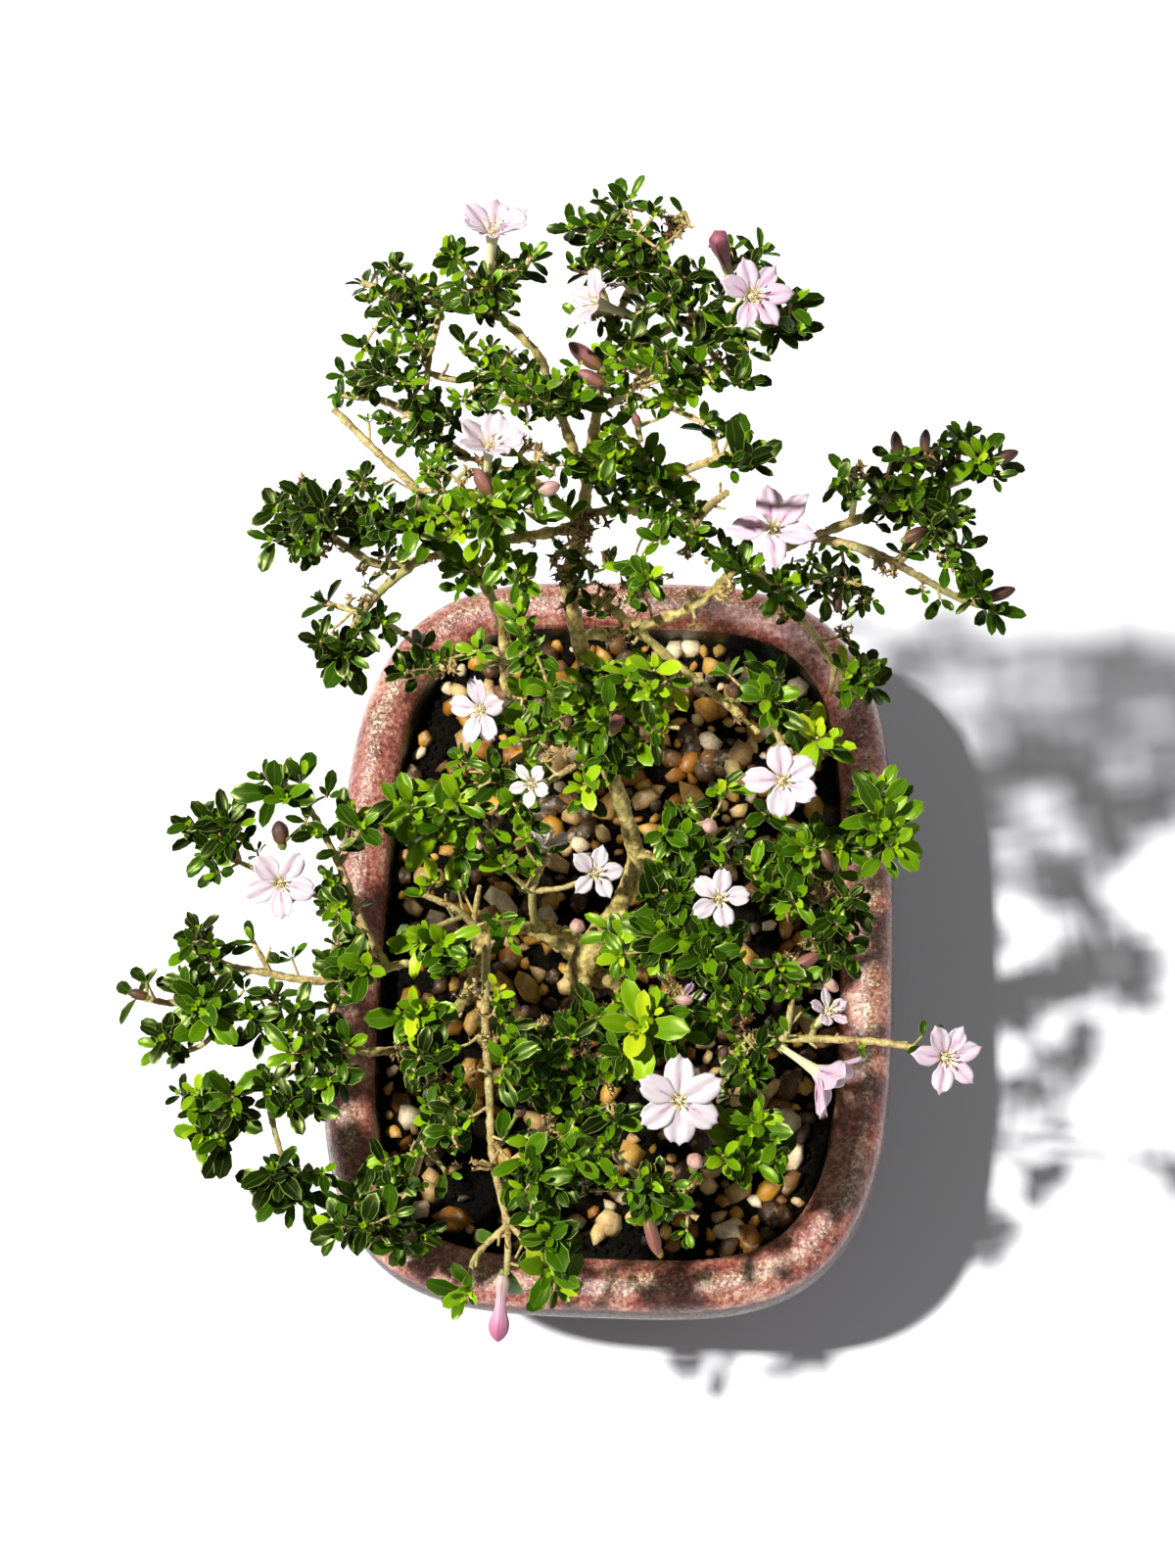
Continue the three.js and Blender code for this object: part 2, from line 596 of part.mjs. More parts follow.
// The rings of a stem along its route, with the frame at each
function stemRings(route, { sides, radii }, extra = 0) {
  const curve = new THREE.CatmullRomCurve3(route.map(vector));
  const steps = route.length - 1;
  const frames = curve.computeFrenetFrames(steps, false);
  return route.map((point, step) => {
    const reach = (step / steps) * (radii.length - 1);
    const from = Math.min(Math.floor(reach), radii.length - 2);
    const radius = THREE.MathUtils.lerp(radii[from], radii[from + 1], reach - from) + extra;
    return Array.from({ length: sides }, (_, side) => {
      const angle = (side / sides) * 2 * Math.PI;
      return vector(point)
        .addScaledVector(frames.normals[step], Math.cos(angle) * radius)
        .addScaledVector(frames.binormals[step], Math.sin(angle) * radius);
    });
  });
}

function endFrame(route) {
  const curve = new THREE.CatmullRomCurve3(route.map(vector));
  const steps = route.length - 1;
  const { tangents, normals } = curve.computeFrenetFrames(steps, false);
  return { tip: vector(route.at(-1)), tangent: tangents[steps], normal: normals[steps] };
}

// The walls and the foot of a stem
function stemMesh(route, size, extra) {
  const rings = stemRings(route, size, extra);
  const sides = size.sides;
  const points = [...rings.flat(), vector(route[0])];
  const triangles = [];
  for (let side = 0; side < sides; side++) {
    const next = (side + 1) % sides;
    triangles.push([rings.length * sides, next, side]);
    for (let low = 0; low < (rings.length - 1) * sides; low += sides) {
      const high = low + sides;
      triangles.push([low + side, low + next, high + next], [low + side, high + next, high + side]);
    }
  }
  return { points, triangles, neck: (rings.length - 1) * sides };
}

const solidOf = ({ points, triangles }) => closedMesh(points.map((point) => point.toArray()), triangles);

function stem(route, size, extra = 0) {
  const mesh = stemMesh(route, size, extra);
  mesh.points.push(vector(route.at(-1)));
  for (let side = 0; side < size.sides; side++) {
    const next = (side + 1) % size.sides;
    mesh.triangles.push([mesh.points.length - 1, mesh.neck + side, mesh.neck + next]);
  }
  return solidOf(mesh);
}

// The upper and lower outline of one lobe that leaves an axis at an angle about it and a spread from it
function lobePoints(root, { axis, normal }, lobe, kind) {
  const side = normal.clone().applyAxisAngle(axis, lobe.angle);
  const [sine, cosine] = [Math.sin(lobe.spread), Math.cos(lobe.spread)];
  const along = axis.clone().multiplyScalar(cosine).addScaledVector(side, sine);
  const face = axis.clone().multiplyScalar(sine).addScaledVector(side, -cosine);
  const matrix = new THREE.Matrix4().makeBasis(along.clone().cross(face), along, face).setPosition(root);
  const upper = kind.outline.map(([x, y]) => {
    const rise = Math.abs(x) * lobe.width * kind.fold - y * y * lobe.length * kind.droop;
    return new THREE.Vector3(x * lobe.width, y * lobe.length, rise).applyMatrix4(matrix);
  });
  const lower = upper.map((point) => point.clone().addScaledVector(face, -kind.thickness));
  return { upper, lower, face };
}

// One lobe alone, to test where it would lie
function loneLobe(root, frame, lobe, kind) {
  const { upper, lower, face } = lobePoints(root, frame, lobe, kind);
  const points = [root, ...upper, root.clone().addScaledVector(face, -kind.thickness), ...lower];
  const count = upper.length + 1;
  const triangles = [];
  for (let index = 1; index < count - 1; index++) {
    triangles.push([0, index, index + 1], [count, count + index + 1, count + index]);
  }
  for (let index = 0; index < count; index++) {
    const next = (index + 1) % count;
    triangles.push([count + index, count + next, next], [count + index, next, index]);
  }
  return solidOf({ points, triangles });
}

// A stem that ends in a plate of lobes, as one closed solid
function lobedStem(route, size, frame, lobes, kind) {
  if (lobes.length === 0) return stem(route, size);
  const mesh = stemMesh(route, size);
  const root = frame.tip.clone().addScaledVector(frame.axis, kind.rim);
  const sector = Math.PI / lobes.length;
  const [upper, lower, angles] = [[], [], []];
  lobes.forEach((lobe) => {
    const notch = frame.normal.clone().applyAxisAngle(frame.axis, lobe.angle - sector);
    const between = root.clone().addScaledVector(notch, kind.notch);
    const points = lobePoints(root, frame, lobe, kind);
    upper.push(between, ...points.upper);
    lower.push(between.clone().addScaledVector(frame.axis, -kind.thickness), ...points.lower);
    const turns = points.upper.length;
    for (let turn = 0; turn <= turns; turn++) angles.push(lobe.angle - sector * (1 - turn / turns));
  });
  const count = upper.length;
  const first = mesh.points.length;
  mesh.points.push(...upper, ...lower, frame.tip.clone().addScaledVector(frame.axis, kind.centre));
  const slots = angles.map((angle) => Math.round((angle / (2 * Math.PI)) * size.sides));
  slots.push(slots[0] + size.sides);
  const neckAt = (slot) => mesh.neck + (((slot % size.sides) + size.sides) % size.sides);
  for (let index = 0; index < count; index++) {
    const next = (index + 1) % count;
    const [top, topNext] = [first + index, first + next];
    const [low, lowNext] = [top + count, topNext + count];
    mesh.triangles.push([first + 2 * count, top, topNext], [low, lowNext, topNext], [low, topNext, top]);
    mesh.triangles.push([neckAt(slots[index]), lowNext, low]);
    for (let slot = slots[index]; slot < slots[index + 1]; slot++) {
      mesh.triangles.push([neckAt(slot), neckAt(slot + 1), lowNext]);
    }
  }
  return solidOf(mesh);
}

function makeWood(extra) {
  return [
    stem(TRUNK.route, { sides: TRUNK_SIDES, radii: TRUNK.radii }, extra),
    ...[...ROOTS, ...LIMBS].map(({ route, radii }) => stem(route, { sides: LIMB_SIDES, radii }, extra)),
  ];
}

function nearestOn(routes, point) {
  const feet = routes.flatMap((route) =>
    route.slice(1).map((end, at) => {
      const run = new THREE.Line3(vector(route[at]), vector(end));
      return run.closestPointToPoint(vector(point), true, new THREE.Vector3());
    }),
  );
  const reach = (foot) => foot.distanceTo(vector(point));
  return feet.reduce((best, foot) => (reach(foot) < reach(best) ? foot : best)).toArray();
}

// A spray whose routes start exactly on the wood, or on the routes before them, that they grow from
function rooted(spray) {
  const routes = [];
  for (const route of spray.routes) {
    const parents = routes.length === 0 ? [TRUNK.route, ...LIMBS.map((limb) => limb.route)] : routes;
    routes.push([nearestOn(parents, route[0]), ...route.slice(1)]);
  }
  return { ...spray, routes };
}

const twigSize = (index) => (index === 0 ? TWIG : SIDE_TWIG);
const makeTwigs = (spray, extra) => spray.routes.map((route, index) => stem(route, twigSize(index), extra));

// The frame of a shoot's tip: leaves turn their faces up, so its axis is bent towards the sky
function shootFrame(route) {
  const { tip, tangent, normal } = endFrame(route);
  const axis = tangent.clone().multiplyScalar(TWIG_PULL).addScaledVector(UP, SKY_PULL).normalize();
  const bend = new THREE.Quaternion().setFromUnitVectors(tangent, axis);
  return { tip, axis, normal: normal.clone().applyQuaternion(bend) };
}

// Crossed pairs of leaves: two on a spray's own tip, one on a side twig
function leafLobes(spray, number, index) {
  if (spray.bare?.includes(index)) return [];
  const turn = chance(number, index) * Math.PI;
  const count = index === 0 ? 4 : 2;
  return Array.from({ length: count }, (_, leaf) => {
    const pair = count === 4 ? leaf % 2 : 0;
    const share = pair === 0 ? 1 : INNER_PAIR_LENGTH;
    const length = spray.leaf * share * draw(LEAF_RANGE, number * 7 + index, leaf);
    const angle = turn + (leaf / count) * 2 * Math.PI;
    return { angle, spread: PAIR_SPREADS[pair], length, width: length * LEAF_WIDTH };
  });
}

// A spray without the leaves that would cross something else, or each other
function makeSpray(spray, number, others) {
  const ownTwigs = makeTwigs(spray, 0);
  const ownLeaves = [];
  const shoots = spray.routes.map((route, index) => {
    const frame = shootFrame(route);
    const root = frame.tip.clone().addScaledVector(frame.axis, LEAF.rim);
    const inTheWay = [...others, ...ownTwigs.filter((_, own) => own !== index), ...ownLeaves];
    const free = [];
    for (const lobe of leafLobes(spray, number, index)) {
      const leaf = loneLobe(root, frame, lobe, LEAF);
      if (!isClear(leaf, inTheWay)) continue;
      free.push(lobe);
      ownLeaves.push(leaf);
    }
    return lobedStem(route, twigSize(index), frame, free, LEAF);
  });
  return join(shoots);
}

function makeBloom({ foot, mouth, across, petals }, number) {
  const axis = vector(mouth).sub(vector(foot)).normalize();
  const neck = vector(mouth).addScaledVector(axis, -PETAL.rim);
  const route = [foot, neck.toArray()];
  const { tip, normal } = endFrame(route);
  const length = across / 2;
  const width = length * PETAL_WIDTHS[petals];
  const lobes = Array.from({ length: petals }, (_, petal) => {
    const angle = ((petal + chance(number, 3)) / petals) * 2 * Math.PI;
    return { angle, spread: PETAL_SPREAD, length, width };
  });
  return lobedStem(route, TUBE, { tip, axis, normal }, lobes, PETAL);
}

function makeBud({ foot, tip, across }) {
  const route = BUD_KNOTS.map((share) => vector(foot).lerp(vector(tip), share).toArray());
  const radii = [BUD_RADII.stalk, BUD_RADII.calyx, across / 2, BUD_RADII.tip];
  return stem(route, { sides: BUD_SIDES, radii });
}

function isClear(solid, others) {
  const { min, max } = solid.boundingBox();
  return others.every((other) => {
    const room = other.boundingBox();
    const pastIt = (axis) => room.min[axis] > max[axis] + GAP || room.max[axis] < min[axis] - GAP;
    return [0, 1, 2].some(pastIt) || solid.minGap(other, 2 * GAP) >= GAP;
  });
}

const materials = {
  pot: new THREE.MeshStandardMaterial({ color: 0x8d5a58, roughness: 0.25 }),
  soil: new THREE.MeshStandardMaterial({ color: 0x17130f, roughness: 0.95 }),
  gravel: new THREE.MeshStandardMaterial({ color: 0xb9935f, roughness: 0.7 }),
  net: new THREE.MeshStandardMaterial({ color: 0x202020, roughness: 0.6 }),
  bark: new THREE.MeshStandardMaterial({ color: 0xa89a68, roughness: 0.85 }),
  leaf: new THREE.MeshStandardMaterial({ color: 0x3f7d1c, roughness: 0.4 }),
  petal: new THREE.MeshStandardMaterial({ color: 0xf3e4ee, roughness: 0.6 }),
  bud: new THREE.MeshStandardMaterial({ color: 0xc97d92, roughness: 0.6 }),
};

const group = new THREE.Group();
function addNode(name, solid, material) {
  const mesh = new THREE.Mesh(toGeometry(solid), material);
  mesh.name = name;
  group.add(mesh);
}

const wood = makeWood(0);
const woodRoom = makeWood(TOUCH_ROOM);
const pot = makePot();
const gravel = makeGravel(woodRoom);

addNode("pot", pot, materials.pot);
addNode("drain_net_front", makeNet(-DRAIN_OFFSET), materials.net);
addNode("drain_net_back", makeNet(DRAIN_OFFSET), materials.net);
addNode("soil", makeSoil(woodRoom), materials.soil);
addNode("gravel", gravel, materials.gravel);
addNode("trunk", join(wood), materials.bark);

// Blooms and buds leave room for the wood and the twigs, and leaves leave room for everything
const rootedSprays = SPRAYS.map(rooted);
const twigs = rootedSprays.map((spray) => makeTwigs(spray, 0));
const twigRoom = rootedSprays.map((spray) => makeTwigs(spray, TOUCH_ROOM));
const blooms = [...BLOOMS, ...BUDS].map((bloom, number) => {
  const solid = bloom.tip ? makeBud(bloom) : makeBloom(bloom, number);
  const clear = largestPiece(cut(solid, [...woodRoom, ...twigRoom.flat()]));
  addNode(bloom.name, clear, bloom.tip ? materials.bud : materials.petal);
  return clear;
});

const sprays = [];
rootedSprays.forEach((spray, number) => {
  const otherTwigs = twigs.filter((_, index) => index !== number).flat();
  const whole = makeSpray(spray, number, [pot, gravel, ...wood, ...blooms, ...otherTwigs, ...sprays]);
  sprays.push(largestPiece(cut(whole, [...woodRoom, ...twigRoom.slice(0, number).flat()])));
  addNode(spray.name, sprays.at(-1), materials.leaf);
});

export default group;
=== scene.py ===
import math
import random

import bmesh
import bpy
import numpy as np
from mathutils import Matrix, Quaternion, Vector, noise


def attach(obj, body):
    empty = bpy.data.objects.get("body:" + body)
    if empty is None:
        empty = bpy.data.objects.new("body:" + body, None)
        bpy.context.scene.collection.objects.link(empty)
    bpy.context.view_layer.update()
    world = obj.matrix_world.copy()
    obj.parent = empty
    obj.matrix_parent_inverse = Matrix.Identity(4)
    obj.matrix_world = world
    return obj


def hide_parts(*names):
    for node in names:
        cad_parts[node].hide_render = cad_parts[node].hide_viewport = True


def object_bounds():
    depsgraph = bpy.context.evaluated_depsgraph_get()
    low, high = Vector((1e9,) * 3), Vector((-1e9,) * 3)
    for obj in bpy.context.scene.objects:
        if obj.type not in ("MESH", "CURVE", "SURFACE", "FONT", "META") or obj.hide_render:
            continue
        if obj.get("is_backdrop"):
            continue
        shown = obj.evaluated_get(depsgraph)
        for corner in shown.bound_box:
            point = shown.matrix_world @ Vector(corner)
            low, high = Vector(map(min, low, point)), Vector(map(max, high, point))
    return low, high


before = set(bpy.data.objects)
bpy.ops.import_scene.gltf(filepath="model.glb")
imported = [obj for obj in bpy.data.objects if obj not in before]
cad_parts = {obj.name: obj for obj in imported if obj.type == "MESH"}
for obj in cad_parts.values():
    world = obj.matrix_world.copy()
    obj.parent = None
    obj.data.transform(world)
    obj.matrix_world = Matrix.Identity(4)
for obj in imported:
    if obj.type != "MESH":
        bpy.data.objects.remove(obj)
cad_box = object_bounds()
scene = bpy.context.scene

# A serissa grown as a bonsai, in a glazed pot with gravel on its soil. Sizes and places are in
# millimetres, in the part's own frame, and MM turns them into metres as a mesh is made.
MM = 0.001
UP = Vector((0, 0, 1))

# Pot: its lip's rounded rectangle, and inset from it and height, in runs that meet at an edge
LIP_WIDTH = 135
LIP_LENGTH = 184
CORNER_POWER = 3.6
POWER_PER_INSET = 0.05
FOOT_RUN = [(19, 0), (18, 4)]
WALL_RUN = [(18, 4), (9, 22), (4.6, 45)]
LIP_RUN = [(4.6, 45), (1.8, 46.5), (0, 52), (1.2, 57.6), (5, 60), (9, 59.6), (12.2, 57.4), (13, 54)]
INSIDE_RUN = [(13, 54), (14.2, 40), (19.5, 10), (25, 6)]
RUN_STEP = 1.1
POT_STEPS = 168
# Where bare clay ends, where the outer wall painted dark as shade under the lip ends, and where the lip's
# crest runs
CLAY_TOP = 3.5
UNDERSIDE_TOP = 10
SHADED_WALL_TOP = 49.5
CREST_INSET = 6.2
CREST_REACH = 4.4
# Heights where a mark of the glaze begins or ends, and how far it takes to full strength: the pale crest,
# the rim darkened partly as painted shade, and the inner wall painted dark as shade
CREST_START = (55, 3)
RIM_START = (45.5, 2)
RIM_END = (58.2, -2.4)
RIM_INSET = 4
INSIDE_END = (56.3, -2)
INSIDE_INSET = 10
# Floor, drain holes, nets and soil
FLOOR_TOP = 6
DRAIN_DIAMETER = 12
DRAIN_OFFSET = 30
GROOVE_WIDTH = 6
GROOVE_DEPTH = 2
NET_SIDE = 20
NET_GAP = 0.3
NET_WAVE = 0.22
NET_THICK = 0.28
NET_STRANDS = 11
NET_STEPS = 20
SOIL_EDGE_Z = 48.6
SOIL_RISE = 4
SOIL_INSET = 13.6
SOIL_RINGS = 46
SOIL_STEPS = 132
BED_STEPS = 90
BED_INSET = SOIL_INSET + 1.6

# Camera, and lamps as name, place and size in metres, and power in watts
CAMERA_PLACE = Vector((38.85, -192.15, 634.28))
CAMERA_RIGHT = Vector((0.997, 0.0466, -0.0612))
CAMERA_UP = Vector((-0.0208, 0.929, 0.3696))
CAMERA_AHEAD = Vector((-0.0741, 0.3672, -0.9272))
LENS = 58.53
SENSOR = 36
FRAME_WIDTH = 1200
FRAME_HEIGHT = 1601
FOCAL = LENS / SENSOR * FRAME_HEIGHT
KEY_PLACE = (-1.15, -0.15, 2.35)
LAMPS = [("key", KEY_PLACE, 0.12, 120), ("fill", (1.3, -0.4, 1.6), 1.4, 4)]
LAMP_AIM = Vector((0, 0, 0.08))
ROOM_LIGHT = (0.97, 0.98, 1.0, 1)
ROOM_POWER = 0.14

# Thickness of twigs from their start to their end
TWIG_RADII = (0.76, 0.52)
SIDE_TWIG_RADII = (0.54, 0.4)
SHOOT_RADII = (0.38, 0.28)
# How shoots stand on the wood: in steps of TURN_STEP radians round a twig, or in tufts
STEM_STEP = 1.5
SHOOT_GAP = 5.4
SHOOTS_ABOVE = 62
TUFT_SHOOTS = 2
TUFT_SPREAD = 5.5
TUFT_DEPTH = (-8.0, 2.0)
SHORTEST_SHOOT = 0.8
LONGEST_SHOOT = 26
TURN_STEP = 2.4
MISSING_LEAVES = 0.1
TIPS_WITHOUT_STAR = 0.5
# Fineness of the trunk's skin, a petal's thickness, and ripples on stems, which are in metres
SKIN_VOXEL = 0.48
PETAL_THICKNESS = 0.18
CALYX_RIPPLE = 0.00008
TWIG_RIPPLE = 0.0005

# Wood and twigs, as in the part: a route is a list of places, and its radius runs evenly from one
# value to the next
TRUNK = (
    [(-6, -12, 44), (-6, -11, 57), (-2, -5, 66), (3, -1, 76), (7, 6, 89), (4, 14, 104), (0, 22, 121),
     (-2, 29, 138), (-4, 35, 152), (-5, 40, 163), (-2, 45, 174), (0, 51, 186), (2, 57, 198), (4, 64, 210),
     (8, 70, 220)],
    [5.0, 4.0, 3.0, 2.2, 2.0, 1.9, 1.8, 1.7, 1.7, 1.6, 1.5, 1.35, 1.2, 1.0, 0.8],
)
ROOTS = [
    ([(-6, -11, 56), (2, -14, 53), (9, -18, 46)], [3.2, 2.2, 1.2]),
    ([(-6, -9, 57), (-12, -4, 57), (-20, -1, 57), (-27, 0, 54)], [2.8, 1.9, 1.7, 1.2]),
    ([(-6, -11, 56), (-3, -4, 53), (-1, 4, 46)], [3.1, 2, 1.1]),
    ([(-6, -11, 56), (-8, -18, 53), (-10, -24, 46)], [3.1, 2, 1.1]),
]
LIMBS = [
    ([(-4, -7, 62), (-10, -6, 70), (-17, -9, 82), (-25, -16, 96)], [1.9, 1.7, 1.6, 1.5]),
    ([(-25, -16, 96), (-35, -23, 102), (-45, -27, 106)], [1.7, 1.4, 1.1]),
    ([(-25, -16, 96), (-29, -33, 101), (-37, -43, 104), (-46, -46, 106), (-54, -46, 108)],
     [1.6, 1.5, 1.3, 1.2, 1]),
    ([(0, 22, 121), (-10, 22, 119), (-18, 26, 122), (-20, 31, 133), (-20, 37, 145), (-23, 42, 154),
     (-28, 45, 161), (-35, 43, 166)], [1.8, 1.7, 1.8, 1.7, 1.6, 1.4, 1.2, 1]),
    ([(-3, 46, 174), (-11, 41, 180), (-19, 37, 185)], [1.6, 1.5, 1.4]),
    ([(0, 50, 184), (-4, 57, 194), (-7, 63, 202), (-10, 68, 206), (-17, 73, 210), (-24, 74, 212)],
     [1.5, 1.4, 1.3, 1.2, 1.1, 1]),
    ([(-2, 46, 176), (-10, 51, 183), (-19, 53, 187), (-26, 54, 189)], [1.3, 1.2, 1, 0.9]),
    ([(-3, 34, 148), (8, 33, 154), (19, 35, 159), (25, 38, 162), (30, 42, 165), (39, 45, 168),
     (50, 48, 172)], [1.7, 1.6, 1.5, 1.4, 1.3, 1.2, 1]),
    ([(-1, 47, 178), (9, 48, 178), (20, 45, 173), (29, 42, 167)], [1.2, 1.1, 1, 0.9]),
    ([(-4, 38, 157), (2, 37, 158), (12, 31, 152), (20, 26, 147), (29, 21, 141), (35, 17, 137)],
     [1.5, 1.4, 1.3, 1.2, 1.1, 0.9]),
    ([(-6, -11, 57), (-3, -27, 76), (-2, -44, 92)], [1.7, 1.5, 1.2]),
    ([(3, -1, 75), (12, -18, 84), (24, -32, 93)], [1.6, 1.4, 1.2]),
    ([(7, 7, 90), (19, 2, 97), (32, 0, 105)], [1.4, 1.3, 1.1]),
]
